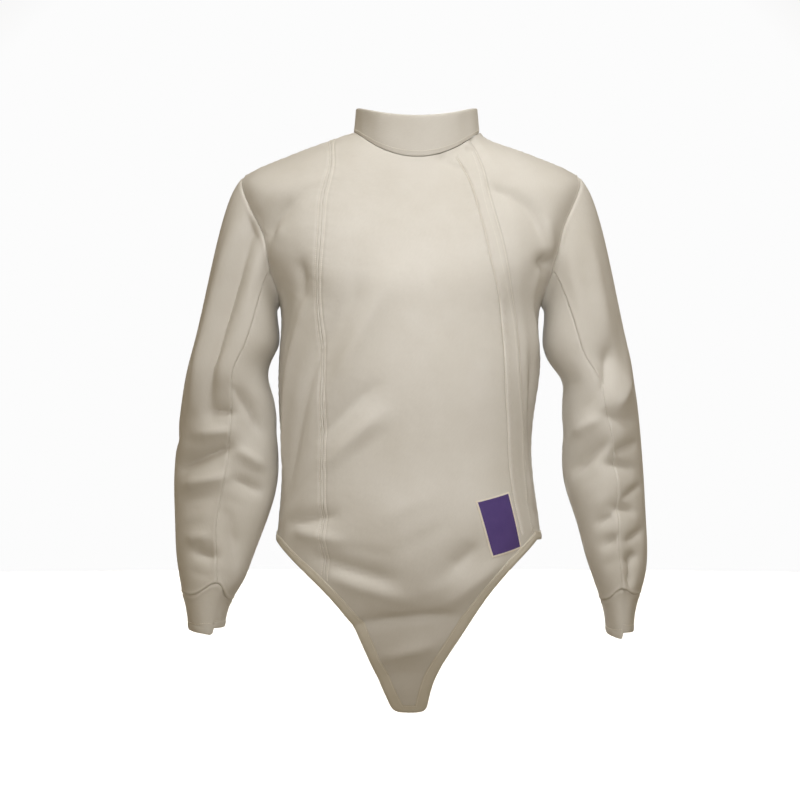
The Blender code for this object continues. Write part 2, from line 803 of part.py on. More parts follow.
def front_panels(lines, fabric, label_cloth):
    """The wide front, with the label sewn on it, and the two narrow front sides."""
    foot = lines["princess_foot"]
    hem = lines["hem"]
    rail = lines["rail"]
    label = label_outline()
    under, beside = fly_lines(lines)
    front = joined(
        hem[foot:],
        lines["fly"][::-1],
        lines["neck_front"],
        lines["shoulder_neck"][::-1],
        lines["princess"],
    )
    kept = (rail[foot + 1 : -1], under[1:], beside[1:])
    ties = hem_ties(hem[foot:], rail[foot:])
    flat, triangles, middles, normals = cloth_panel(
        "front", front, body_cloth, fabric, kept, label, ties
    )
    on_label = triangles[inside(label, flat[triangles].mean(axis=1))]
    used, faces = np.unique(on_label, return_inverse=True)
    low = BODY_WALL / 2 + LAY_GAP
    wall(
        "label", middles[used], normals[used], faces.reshape(on_label.shape),
        low, low + LABEL_WALL, label_cloth,
    )
    right = joined(
        hem[: foot + 1],
        lines["princess"][::-1],
        lines["shoulder_right"][::-1],
        front_armhole(-1)[::-1],
        lines["side_right"][::-1],
    )
    ties = hem_ties(hem[: foot + 1], rail[: foot + 1])
    cloth_panel("front_side_right", right, body_cloth, fabric, (rail[1:foot],), None, ties)


def fly_lines(lines):
    """Lines inside the fly's free edge, down to above the hem tape: the under panel's edge, and
    the zip's far edge."""
    above = lines["fly"][lines["fly"][:, 1] > lines["fly"][-1][1] + 2 * TAPE_WIDTH]
    level = np.array([1.0, 0.0])
    under = inner_line(above, -FLY_UNDERLAP, level, level)
    beside = inner_line(above, -FLY_UNDERLAP - ZIP_WIDTH - 2 * SEAM_INSET, level, level)
    return under, beside


def left_side_panel(lines, fabric):
    """The narrow front side under the fly on the wearer's left. Its edge follows the fly's
    stations, so both layers bend alike."""
    surface = sunk_cloth(fly_sink(lines["fly"][::-1]))
    under, beside = fly_lines(lines)
    side = lines["side_left"]
    foot = lines["fly"][-1] + np.array([FOOT_GAP, 0.0])
    fly_up = lines["fly"][::-1]
    corner = np.array([np.interp(under[-1][1], fly_up[:, 1], fly_up[:, 0]), under[-1][1]])
    hem = evenly([foot, side[0]], SEAM_STEP)
    rail = inner_line(hem, TAPE_WIDTH, way_of([corner, foot]), way_of(side[::-1]))
    neck_angle = math.degrees(from_pattern(under[0])[0])
    outline = joined(
        np.array([under[-1], corner]),
        np.array([corner, rail[0], foot]),
        hem,
        with_stop(side[::-1], rail[-1])[::-1],
        front_armhole(1),
        lines["shoulder_left"],
        ring_line((90, neck_angle), NECK_RING, 13 * MM),
        under,
    )
    fold = lines["fly"][1 : len(under) - 1]
    past = fold + np.array([FLY_RAMP, 0.0])
    kept = (fold, past, rail[1:-1])
    ties = hem_ties(hem, rail)
    cloth_panel("front_side_left", outline, surface, fabric, kept, None, ties)
    return surface, (under, beside), (from_pattern(hem), from_pattern(rail))


def zip_strip(surface, under, beside, zip_cloth):
    """The closed zip, a tape with a raised chain, beside the under panel's edge."""
    near, far = 2 * SEAM_INSET / ZIP_WIDTH, 1.0
    chain = (0.5 - ZIP_CHAIN_WIDTH / ZIP_WIDTH / 2, 0.5 + ZIP_CHAIN_WIDTH / ZIP_WIDTH / 2)
    tape, top = ZIP_TAPE_WALL / 2, ZIP_CHAIN_HEIGHT / 2
    section = (
        (near, tape), (chain[0], tape), (chain[0], top), (chain[1], top),
        (chain[1], tape), (far, tape), (far, -tape), (near, -tape),
    )
    stations = []
    for start, end in zip(under[1:-1], beside[1:-1]):
        offsets = np.array([start + (end - start) * share for share, _ in section])
        angle, height = from_pattern(offsets)
        lifts = np.array([lift for _, lift in section])
        normals = slope_normals(surface, angle, height, FINE_STEPS)
        stations.append(surface(angle, height) + normals * lifts[:, None])
    sweep("zip", stations, zip_cloth)


def sweep(name, stations, surface_material, other_way=()):
    """A closed body through stations of the same ring of points, with flat ends. The strips
    named in other_way are split along their other diagonal."""
    count = len(stations[0])
    points = np.concatenate(stations)
    faces = []
    for k in range(len(stations) - 1):
        for i in range(count):
            a, b = k * count + i, k * count + (i + 1) % count
            if i in other_way:
                faces += [(a, b, a + count), (b, b + count, a + count)]
            else:
                faces += [(a, b, b + count), (a, b + count, a + count)]
    last = (len(stations) - 1) * count
    faces.append(tuple(range(count - 1, -1, -1)))
    faces.append(tuple(range(last, last + count)))
    return add_object(name, points, faces, surface_material)


def edge_tape(name, edge, rail, surface, tape_cloth):
    """Binding folded over a hem: its legs lie on both faces of the panel, round the raw edge."""
    edge_at, rail_at = surface(*edge), surface(*rail)
    for line in (edge_at, rail_at):
        for end, inner in ((0, 1), (-1, -2)):
            run = line[inner] - line[end]
            line[end] += run * (1.5 * SEAM_INSET / np.linalg.norm(run))
    edge_up = slope_normals(surface, *edge, FINE_STEPS)
    rail_up = slope_normals(surface, *rail, FINE_STEPS)
    near, far = BODY_WALL / 2 + LAY_GAP, BODY_WALL / 2 + LAY_GAP + TAPE_WALL
    stations = []
    for at_edge, at_rail, up_edge, up_rail in zip(edge_at, rail_at, edge_up, rail_up):
        out = (at_edge - at_rail) / np.linalg.norm(at_edge - at_rail)
        past = at_edge + out * LAY_GAP
        fold = at_edge + out * (LAY_GAP + TAPE_WALL)
        stations.append(
            np.array(
                [
                    at_rail + up_rail * far,
                    past + up_edge * far,
                    fold + up_edge * near * 0.6,
                    fold - up_edge * near * 0.6,
                    past - up_edge * far,
                    at_rail - up_rail * far,
                    at_rail - up_rail * near,
                    past - up_edge * near,
                    past + up_edge * near,
                    at_rail + up_rail * near,
                ]
            )
        )
    sweep(name, stations, tape_cloth, (4, 8))


def back_panel(lines, fabric):
    """The back, from side seam to side seam, and its hem line."""
    turns = np.linspace(90, 270, 121)
    dip = BACK_HEM_DIP * np.sin(np.radians(turns - 90)) ** 2
    hem = evenly(to_pattern(np.radians(turns), SIDE_HEM - dip, math.pi), SEAM_STEP)

    def placed(line, turn=0.0):
        angle, height = from_pattern(line)
        return to_pattern(angle + turn, height, math.pi)

    whole = 2 * math.pi
    side_left = placed(lines["side_left"][::-1])
    side_right = placed(rise_line(-90, (SIDE_HEM, -227 * MM))[::-1], whole)
    rail = inner_line(hem, TAPE_WIDTH, way_of(side_left), way_of(side_right))
    outline = joined(
        hem,
        with_stop(side_right, rail[-1])[::-1],
        placed(back_armhole(-1), whole),
        placed(joined_rise(lines), whole),
        placed(lines["neck_back"]),
        placed(lines["shoulder_left"][::-1]),
        placed(back_armhole(1)[::-1]),
        with_stop(side_left, rail[0]),
    )
    ties = hem_ties(hem, rail)
    kept = (rail[1:-1],)
    cloth_panel("back", outline, body_cloth, fabric, kept, None, ties, math.pi)
    return from_pattern(hem, math.pi), from_pattern(rail, math.pi)


def joined_rise(lines):
    """The whole shoulder seam on the wearer's right, from the tip to the neck."""
    return np.concatenate([lines["shoulder_right"][:-1], lines["shoulder_neck"]])


def hem_tapes(lines, surface, side_edges, back_edges, tape_cloth):
    """One tape round the front hem and tail, and one from the fly round the back hem."""
    hem, rail = from_pattern(lines["hem"]), from_pattern(lines["rail"])
    edge_tape("hem_tape_front", hem, rail, body_cloth, tape_cloth)
    edge, rail = (
        [np.concatenate([side[i][:-1], back[i]]) for i in range(2)]
        for side, back in zip(side_edges, back_edges)
    )
    edge_tape("hem_tape_back", edge, rail, surface, tape_cloth)


def around(values, share):
    """Values at the top, front and underarm, blended smoothly round the armhole."""
    top, front, under = values
    turn = 2 * math.pi * share
    steady = (top + under + 2 * front) / 4
    return steady + (top - under) / 2 * np.cos(turn) + (top + under - 2 * front) / 4 * np.cos(2 * turn)


SIDES = {"right": -1, "left": 1}


class Sleeve:
    """One sleeve: its cap from the armhole seam, then rings down to the wrist."""

    def __init__(self, side_name, hang, folds):
        self.side = SIDES[side_name]
        self.cuff_peak = CUFF_PEAK[side_name]
        self.folds = folds
        self.girth = columns_of(GIRTH_COLUMNS, SLEEVE_GIRTHS, "height", {})["girth"]
        self.hang = columns_of(HANG_COLUMNS, hang, "height", {"seam_angle": 1.0})

    def ring(self, angle, height):
        """A point of the sleeve's rings; the angle is in degrees from the outer side."""
        half_width = self.hang["half_width"](height)
        mean_square = 2 * (self.girth(height) / (2 * math.pi)) ** 2
        half_depth = np.sqrt(mean_square - half_width**2)
        turn = np.radians(angle)
        x = self.hang["centre"](height) + self.side * half_width * np.cos(turn)
        y = -self.hang["forward"](height) - half_depth * np.sin(turn)
        return np.stack([x, y, height + 0 * turn], axis=-1)

    def cuff_top(self, angle):
        """Height of the seam that joins the cuff: highest at the front, lowest on the inside."""
        low = CUFF_TOP - CUFF_INNER_DIP * (1 - np.cos(np.radians(angle))) / 2
        from_seam = (angle - self.hang["seam_angle"](CUFF_TOP) + 180) % 360 - 180
        return low + self.cuff_peak * np.exp(-((from_seam / CUFF_PEAK_TURN) ** 2))

    def seam_angles(self, height):
        """Ring angles of the front seam and the back seam."""
        front = self.hang["seam_angle"](height)
        return front, 360 - front

    def start(self, share):
        """Where the sleeve begins at the armhole, and the way it leaves."""
        angle, height = armhole_turns(share)
        angle = self.side * np.radians(angle)
        seam = body_cloth(angle, height)
        up = slope_normals(body_cloth, angle, height, FINE_STEPS)
        step = 1e-3
        ahead_angle, ahead_height = armhole_turns(share + step)
        behind_angle, behind_height = armhole_turns(share - step)
        along = body_cloth(self.side * np.radians(ahead_angle), ahead_height)
        along = along - body_cloth(self.side * np.radians(behind_angle), behind_height)
        along /= np.linalg.norm(along, axis=-1, keepdims=True)
        out_of_panel = np.cross(up, along) * self.side
        leave = np.stack(
            [
                self.side * around(CAP_OUT, share),
                -CAP_BULGE * np.sin(2 * math.pi * share),
                -around(CAP_DOWN, share),
            ],
            axis=-1,
        )
        leave /= np.linalg.norm(leave, axis=-1, keepdims=True)
        cosine = np.sum(leave * out_of_panel, axis=-1)
        sine = np.sqrt(np.maximum(1 - cosine**2, 1e-4))
        clear = np.where(cosine > 0, 0.4 + 1.3 * sine, (1.8 + np.abs(cosine)) / sine)
        return seam + leave * (clear * MM)[..., None], leave

    def plain(self, share, angle, drop):
        """The cap for drops from 0 to 1, then the rings: drop 2 is the cuff's top."""
        begin, leave = self.start(share)
        low = self.ring(angle, np.full_like(angle, SLEEVE_TOP))
        step = 2 * MM
        fall = (low - self.ring(angle, np.full_like(angle, SLEEVE_TOP - step))) / step
        length = np.linalg.norm(low - begin, axis=-1, keepdims=True)
        reach = around(CAP_REACH, share)[..., None] * MM
        t = np.clip(drop, 0, 1)[..., None]
        curve = (2 * t**3 - 3 * t**2 + 1) * begin + (t**3 - 2 * t**2 + t) * leave * reach
        curve = curve + (3 * t**2 - 2 * t**3) * low - (t**3 - t**2) * fall * length
        height = SLEEVE_TOP + np.clip(drop - 1, 0, 1) * (self.cuff_top(angle) - SLEEVE_TOP)
        return np.where(t < 1, curve, self.ring(angle, height))

    def grid(self, shares, turns, rows):
        """The whole sleeve with folds, and its normals, on a grid of rows and closed columns."""
        plain, angles = [], []
        for drop in rows:
            angles.append(self.turned(turns, drop))
            plain.append(self.plain(shares, angles[-1], np.full(len(shares), drop)))
        plain, angles, drops = np.stack(plain), np.stack(angles), np.asarray(rows)[:, None]
        moved = fold_height(angles, plain[..., 2], self.folds, SLEEVE_RADIUS)
        moved = moved * np.clip(drops / 0.12, 0, 1) * np.clip((2 - drops) / 0.05, 0, 1)
        folded = plain + round_normals(plain) * self.side * moved[..., None]
        return folded, round_normals(folded) * self.side

    def turned(self, turns, drop):
        """Ring angles of the columns at a drop: a turn of 0 is the front seam, 1 the back seam."""
        height = SLEEVE_TOP + max(0.0, drop - 1) * (CUFF_TOP - SLEEVE_TOP)
        front, back = self.seam_angles(height)
        under = front + (back - front) * turns
        upper = back + (front + 360 - back) * (turns - 1)
        return np.where(turns < 1, under, upper)


def round_normals(points):
    """Unit normals of a grid whose last column lies on its first."""
    around = np.concatenate([points[:, -2:-1], points, points[:, 1:2]], axis=1)
    return grid_normals(around)[:, 1:-1]


def grid_normals(points):
    """Unit normals of a grid of points, across its columns and then down its rows."""
    down = np.gradient(points, axis=0)
    across = np.gradient(points, axis=1)
    normals = np.cross(across, down)
    return normals / np.linalg.norm(normals, axis=-1, keepdims=True)


def grid_triangles(rows, columns):
    """Triangles of a grid, facing the way that its columns and then its rows turn."""
    triangles = []
    for j in range(rows - 1):
        for i in range(columns - 1):
            a = j * columns + i
            b, c, d = a + 1, a + columns + 1, a + columns
            triangles += [(a, b, c), (a, c, d)]
    return np.array(triangles)


def sleeve_pieces(side_name, sleeve, fabric):
    """The under sleeve and the upper sleeve, split at the front and back seams."""
    lower_rows = round((SLEEVE_TOP - CUFF_TOP) / SLEEVE_STEP)
    rows = np.concatenate([np.linspace(0, 1, CAP_ROWS + 1)[:-1], np.linspace(1, 2, lower_rows + 1)])
    shares = np.concatenate([UNDER_SHARES, UPPER_SHARES[1:]])
    turns = np.concatenate([UNDER_TURNS, UPPER_TURNS[1:]])
    middles, normals = sleeve.grid(shares, turns, rows)
    split = UNDER_SLEEVE_COLUMNS
    for kind, columns in (("under_sleeve", slice(0, split + 1)), ("upper_sleeve", slice(split, None))):
        placed = with_side_gaps(middles[:, columns])
        triangles = grid_triangles(*placed.shape[:2])
        up = normals[:, columns].reshape(-1, 3)
        half = SLEEVE_WALL / 2
        wall(f"{kind}_{side_name}", placed.reshape(-1, 3), up, triangles, -half, half, fabric)


def with_side_gaps(middles):
    """A grid whose first and last columns are drawn in by the seam inset."""
    drawn = middles.copy()
    for edge, inner in ((0, 1), (-1, -2)):
        run = middles[:, inner] - middles[:, edge]
        run /= np.linalg.norm(run, axis=-1, keepdims=True)
        drawn[:, edge] = middles[:, edge] + run * SEAM_INSET
    return drawn


def collar(fabric):
    """The stand collar: one band whose ends lap on the wearer's left."""
    turns = np.linspace(COLLAR_START, COLLAR_END, COLLAR_COLUMNS + 1)
    angle = np.radians(turns)
    base = body_form(angle, np.full_like(angle, NECK_RING))
    sine, cosine = np.sin(angle), np.cos(angle)
    outward = np.stack([sine, -cosine, 0 * sine], axis=-1)
    ends = np.where(cosine > 0, COLLAR_TOP["front"], COLLAR_TOP["back"])
    top = COLLAR_TOP["side"] * sine**2 + ends * cosine**2
    lean = COLLAR_LEAN["side"] * sine**2 + COLLAR_LEAN["front"] * cosine**2
    overlap = COLLAR_END - 360
    past = np.clip((turns - overlap) / (overlap - COLLAR_START), 0, 1)
    sink = COLLAR_SINK * (1 - past**2 * (3 - 2 * past))
    rows = []
    for share in np.linspace(0, 1, COLLAR_ROWS + 1):
        row = base - outward * (sink + lean * share)[:, None]
        row[:, 2] = base[:, 2] + COLLAR_SEAT + (top - base[:, 2] - COLLAR_SEAT) * share
        rows.append(row)
    middles = np.stack(rows)
    normals = np.broadcast_to(outward, middles.shape)
    triangles = grid_triangles(COLLAR_ROWS + 1, COLLAR_COLUMNS + 1)
    half = COLLAR_WALL / 2
    wall("collar", middles.reshape(-1, 3), normals.reshape(-1, 3), triangles, -half, half, fabric)


def cuff_turns(sleeve, ends):
    """Ring angles round a cuff, at and halfway between the sleeve's columns, with the height of
    the sleeve's lower edge at each."""
    columns = sleeve.turned(np.concatenate([UNDER_TURNS, UPPER_TURNS[1:-1]]), 2.0)
    columns = np.concatenate([columns + 360 * k for k in range(-2, 3)])
    halfway = (columns[1:] + columns[:-1]) / 2
    every = np.sort(np.concatenate([columns, halfway]))
    between = every[(every > ends[0] + CUFF_STEP_LEAST) & (every < ends[1] - CUFF_STEP_LEAST)]
    turns = np.array([ends[0], *between, ends[1]])
    return turns, np.interp(turns, columns, sleeve.cuff_top(columns))


def cuff(side_name, sleeve, lap_start, way, fabric):
    """A cuff: a band below the sleeve, its first end inside and its lower last end outside."""
    ends = sorted((lap_start, lap_start + (360 + CUFF_LAP) * way))
    turns, edge = (found[::way] for found in cuff_turns(sleeve, ends))
    gone = np.abs(turns - lap_start)
    past = np.clip((gone - CUFF_LAP) / CUFF_LAP, 0, 1)
    sink = CUFF_SINK * (1 - past**2 * (3 - 2 * past))
    hem = CUFF_HEM[side_name] - CUFF_HEM_STEP * (gone / gone[-1]) ** 4
    top = edge - 2 * SEAM_INSET
    rows = []
    for share in np.linspace(0, 1, CUFF_ROWS + 1):
        height = top + (hem - top) * share
        rows.append(sleeve.ring(turns, height))
    outer = np.stack(rows)
    normals = grid_normals(outer) * sleeve.side * way
    middles = outer - normals * sink[None, :, None]
    triangles = grid_triangles(CUFF_ROWS + 1, len(turns))
    name, half = f"cuff_{side_name}", CUFF_WALL / 2
    wall(name, middles.reshape(-1, 3), normals.reshape(-1, 3), triangles, -half, half, fabric)


def build():
    clear_scene()
    fabric = material("drill_cloth", COLOURS["cloth"], 0.62)
    tape_cloth = material("hem_tape", COLOURS["tape"], 0.55)
    zip_cloth = material("zip_tape", COLOURS["zip"], 0.5)
    label_cloth = material("woven_label", COLOURS["label"], 0.6)
    lines = body_lines()
    front_panels(lines, fabric, label_cloth)
    surface, zip_edges, side_edges = left_side_panel(lines, fabric)
    zip_strip(surface, *zip_edges, zip_cloth)
    back_edges = back_panel(lines, fabric)
    hem_tapes(lines, surface, side_edges, back_edges, tape_cloth)
    collar(fabric)
    right = Sleeve("right", RIGHT_HANG, RIGHT_FOLDS)
    left = Sleeve("left", LEFT_HANG, LEFT_FOLDS)
    sleeve_pieces("right", right, fabric)
    sleeve_pieces("left", left, fabric)
    cuff("right", right, 84.0, 1, fabric)
    cuff("left", left, 124.0, -1, fabric)


build()
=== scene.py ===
"""Fencing jacket in off-white drill, filled out as worn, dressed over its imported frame.

Metres throughout. The wearer's front faces -Y, the wearer's left is +X, and the origin is the
middle of the neck. Cloth is cut on a flat pattern plane and wrapped onto one smooth body form,
so seams, sewing and folds meet from panel to panel.
"""

import math

import bmesh
import bpy
import numpy as np
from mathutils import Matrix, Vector
from mathutils.geometry import delaunay_2d_cdt


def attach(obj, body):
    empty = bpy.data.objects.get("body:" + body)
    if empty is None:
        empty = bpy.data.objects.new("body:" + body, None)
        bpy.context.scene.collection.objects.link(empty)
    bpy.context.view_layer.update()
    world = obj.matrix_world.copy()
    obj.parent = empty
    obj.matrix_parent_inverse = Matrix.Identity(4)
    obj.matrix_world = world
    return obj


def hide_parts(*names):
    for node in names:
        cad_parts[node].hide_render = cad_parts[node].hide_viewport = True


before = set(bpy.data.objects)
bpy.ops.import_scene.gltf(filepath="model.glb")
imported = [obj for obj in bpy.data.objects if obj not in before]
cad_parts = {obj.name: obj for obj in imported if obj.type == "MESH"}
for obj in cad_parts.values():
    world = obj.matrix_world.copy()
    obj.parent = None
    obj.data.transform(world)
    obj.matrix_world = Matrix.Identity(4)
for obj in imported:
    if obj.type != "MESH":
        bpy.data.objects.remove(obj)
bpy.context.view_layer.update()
MM = 0.001


# Studio
# A pale painted floor well below the hanging tail, washed with light far behind it. A soft box
# high in front lights the jacket; a narrow one fills the belly, a warm one the wearer's right
# and a cooler one the left, and one stands behind.
FLOOR_LEVEL = -1.6
FLOOR_RADIUS = 14.2
FLOOR_SIDES = 96
CAMERA_AT = (-0.023, -3.2, -0.3564)
CAMERA_LENS = 106.7
CAMERA_SENSOR = 36
CAMERA_REACH = 100


def linear(hex_colour):
    """An sRGB hex colour as linear red, green, blue and alpha."""
    parts = [int(hex_colour[i : i + 2], 16) / 255 for i in (1, 3, 5)]
    return (*[c / 12.92 if c <= 0.04045 else ((c + 0.055) / 1.055) ** 2.4 for c in parts], 1.0)


def add_node(tree, kind, values=None, links=None, **settings):
    """Adds a node, sets its properties and input values, and links sockets to its inputs."""
    node = tree.nodes.new(kind)
    for name, value in settings.items():
        setattr(node, name, value)
    for key, value in (values or {}).items():
        node.inputs[key].default_value = value
    for key, socket in (links or {}).items():
        tree.links.new(socket, node.inputs[key])
    return node


def new_material(name, constants):
    """A material, its tree and its shader, with constants on the shader's own sockets."""
    made = bpy.data.materials.new(name)
    made.use_nodes = True
    shader = made.node_tree.nodes["Principled BSDF"]
    for socket, value in constants.items():
        shader.inputs[socket].default_value = value
    return made, made.node_tree, shader


def tint_between(tree, share, first, second):
    """A colour between two hex colours, by a share from 0 to 1."""
    mix = add_node(tree, "ShaderNodeMix", data_type="RGBA", links={0: share})
    mix.inputs[6].default_value = linear(first)
    mix.inputs[7].default_value = linear(second)
    return mix.outputs[2]


def tint_ramp(tree, share, *stops):
    """A colour that runs between two stops, each of them a share and a hex colour."""
    ramp = add_node(tree, "ShaderNodeValToRGB", links={"Fac": share})
    for stop, (at, colour) in zip(ramp.color_ramp.elements, stops):
        stop.position = at
        stop.color = linear(colour)
    return ramp.outputs["Color"]


def put_in_scene(name, data):
    """A new object in the scene, holding a mesh, a lamp or a camera."""
    made = bpy.data.objects.new(name, data)
    bpy.context.scene.collection.objects.link(made)
    return made


def soft_box(name, at, aim, size, watts, colour, spread=180):
    lamp = bpy.data.lights.new(name, "AREA")
    lamp.spread = math.radians(spread)
    lamp.shape = "RECTANGLE"
    lamp.size, lamp.size_y = size
    lamp.energy = watts
    lamp.color = linear(colour)[:3]
    holder = put_in_scene(name, lamp)
    holder.location = at
    holder.rotation_euler = (Vector(aim) - Vector(at)).to_track_quat("-Z", "Y").to_euler()


# Matt white studio paint: nearly no gloss, a faint unevenness from the roller.
floor_paint, tree, shader = new_material("matt_floor_paint", {"Roughness": 0.85})
roller = add_node(tree, "ShaderNodeTexNoise", {"Scale": 3.0, "Detail": 3.0})
tint = tint_between(tree, roller.outputs["Fac"], "#E3E1DE", "#E8E7E4")
tree.links.new(tint, shader.inputs["Base Color"])

floor_mesh = bpy.data.meshes.new("studio_floor")
turns = [2 * math.pi * i / FLOOR_SIDES for i in range(FLOOR_SIDES)]
floor_rim = [(FLOOR_RADIUS * math.cos(t), FLOOR_RADIUS * math.sin(t), FLOOR_LEVEL) for t in turns]
floor_mesh.from_pydata(floor_rim, [], [tuple(range(FLOOR_SIDES))])
floor_mesh.materials.append(floor_paint)
studio_floor = put_in_scene("studio_floor", floor_mesh)

soft_box("top_box", (0.12, -0.62, 1.0), (-0.02, -0.03, -0.2), (0.6, 0.4), 9.4, "#FFFFFF")
soft_box("right_box", (-1.9, -1.3, 0.4), (0.0, 0.0, -0.2), (0.7, 1.0), 0.4, "#FFE9B8")
soft_box("left_box", (1.6, -1.8, 0.5), (0.0, 0.0, -0.2), (0.7, 1.0), 1.5, "#F7F9FF")
soft_box("front_box", (0.0, -1.9, 0.2), (0.03, 0.0, -0.36), (0.3, 0.3), 0.64, "#FBFCFF", 34)
soft_box("back_box", (0.0, 2.4, 1.1), (0.0, 0.15, -0.25), (0.8, 0.8), 7, "#FFFDFA")
soft_box("floor_wash", (0.0, 9.5, 4.0), (0.0, 9.5, FLOOR_LEVEL), (10.0, 12.5), 640, "#FFFFFF", 36)

# The studio round it: white paper hangs far behind the jacket and the other walls are dim
studio_air = bpy.data.worlds.new("studio_air")
studio_air.use_nodes = True
air = studio_air.node_tree
looked_at = add_node(air, "ShaderNodeTexCoord")
way_seen = add_node(air, "ShaderNodeSeparateXYZ", links={0: looked_at.outputs["Generated"]})
wall_glow = tint_ramp(air, way_seen.outputs["Y"], (0.93, "#887A62"), (0.975, "#FCFCFC"))
air.links.new(wall_glow, air.nodes["Background"].inputs["Color"])
bpy.context.scene.world = studio_air
bpy.context.scene.view_settings.view_transform = "Standard"

lens = bpy.data.cameras.new("photo_camera")
lens.lens = CAMERA_LENS
lens.sensor_width = CAMERA_SENSOR
lens.clip_end = CAMERA_REACH
photo_camera = put_in_scene("photo_camera", lens)
photo_camera.location = CAMERA_AT
photo_camera.rotation_euler = (math.radians(90), 0, 0)
bpy.context.scene.camera = photo_camera


# Drill cloth
# Bleached cotton drill in several layers, sewn as one: a close satin-faced twill, ecru rather
# than white, with a soft sheen on its ridges and slight unevenness from wash and wear.
TWILL_PITCH = 1.3 * MM  # coarser than the real 0.8 mm, so that close views show it
TWILL_FLOAT = 9 * MM
TWILL_ANGLE = 27.0


def cloth_coordinates(tree):
    """Where a point lies on the cut cloth, and where it lies on the jacket."""
    cut = add_node(tree, "ShaderNodeUVMap", uv_map="cut")
    place = add_node(tree, "ShaderNodeTexCoord")
    return cut.outputs["UV"], place.outputs["Object"]


def noise(tree, vector, scale, detail, roughness=0.5):
    """A noise over some coordinates."""
    values = {"Scale": scale, "Detail": detail, "Roughness": roughness}
    return add_node(tree, "ShaderNodeTexNoise", values, {"Vector": vector}).outputs["Fac"]


def bump(tree, height, strength, distance, under=None):
    """Normals bent by a height, on top of those of an earlier bump."""
    links = {"Height": height} if under is None else {"Height": height, "Normal": under}
    values = {"Strength": strength, "Distance": distance}
    return add_node(tree, "ShaderNodeBump", values, links).outputs["Normal"]


def shaded_by(tree, amount, colour, pattern):
    """A colour multiplied by some amount of a pattern."""
    mix = add_node(
        tree, "ShaderNodeMix", {"Factor": amount}, {6: colour, 7: pattern},
        data_type="RGBA", blend_type="MULTIPLY",
    )
    return mix.outputs[2]


drill_cloth, tree, shader = new_material(
    "cotton_drill_satin_twill",
    {"IOR": 1.5, "Specular IOR Level": 0.35, "Sheen Weight": 0.12, "Sheen Roughness": 0.45},
)
cut, place = cloth_coordinates(tree)
patches = noise(tree, place, 9.0, 3.0, 0.55)
cloth_tone = tint_ramp(tree, patches, (0.32, "#D9D5CC"), (0.68, "#E3E0D9"))
along_twill = add_node(
    tree, "ShaderNodeMapping", {"Rotation": (0, 0, math.radians(TWILL_ANGLE))}, {"Vector": cut}
)
drawn_out = add_node(
    tree, "ShaderNodeMapping", {"Scale": (1 / TWILL_PITCH, 1 / TWILL_FLOAT, 1)},
    {"Vector": along_twill.outputs["Vector"]},
)
twill = noise(tree, drawn_out.outputs["Vector"], 1.0, 1.5, 0.6)
yarns = noise(tree, cut, 900.0, 2.0)
tree.links.new(shaded_by(tree, 0.07, cloth_tone, twill), shader.inputs["Base Color"])
soft_rumple = bump(tree, noise(tree, place, 34.0, 4.0), 0.5, 1.6 * MM)
yarn_bump = bump(tree, yarns, 0.12, 0.3 * MM, soft_rumple)
tree.links.new(bump(tree, twill, 0.3, 0.35 * MM, yarn_bump), shader.inputs["Normal"])
gloss = add_node(tree, "ShaderNodeMapRange", {"To Min": 0.5, "To Max": 0.66}, {"Value": patches})
tree.links.new(gloss.outputs["Result"], shader.inputs["Roughness"])


# Body form
# The shape that the filled jacket takes: rings from the tail up to the neck, with the soft folds
# that the cloth falls into. Every body panel below is cut from it.
BODY_WALL = 2.0 * MM
BODY_STEP = 6.0 * MM
SEAM_STEP = 4.0 * MM
BODY_COLUMNS = (
    "height", "half_width", "front", "back", "front_drop", "back_drop", "centre", "squareness",
)
BODY_RINGS = (
    (-800, 168, 16, 100, 0, 0, -11, 0.10),
    (-720, 172, 56, 101, 0, 0, -11, 0.10),
    (-640, 176, 92, 102, 0, 0, -11, 0.12),
    (-548, 177, 112, 99, 0, 0, -11, 0.14),
    (-490, 171, 113, 90, 0, 0, -12, 0.14),
    (-430, 167, 114, 87, 0, 0, -14, 0.14),
    (-370, 170, 120, 94, 0, 0, -13, 0.14),
    (-300, 175, 126, 106, 2, 2, -10, 0.14),
    (-227, 175, 128, 114, 5, 4, -9, 0.15),
    (-208, 182, 128, 115, 9, 6, -8, 0.15),
    (-184, 195, 127, 115, 16, 8, -8, 0.15),
    (-155, 208, 124, 113, 28, 11, -7, 0.15),
    (-125, 217, 119, 109, 37, 14, -7, 0.15),
    (-100, 225, 113, 104, 41, 16, -8, 0.15),
    (-72, 230, 104, 96, 43, 17, -8, 0.14),
    (-59, 225, 99, 91, 43, 17, -8, 0.13),
    (-46, 205, 94, 85, 43, 17, -8, 0.11),
    (-32, 171, 88, 79, 42, 16, -8, 0.09),
    (-19, 137, 82, 72, 41, 14, -9, 0.06),
    (-6, 101, 76, 64, 40, 11, -8, 0.03),
    (3, 84, 72, 60, 39, 10, 0, 0.02),
)
NECK_RING = 3 * MM
SIDE_HEM = -543 * MM
UNDERARM = -227 * MM

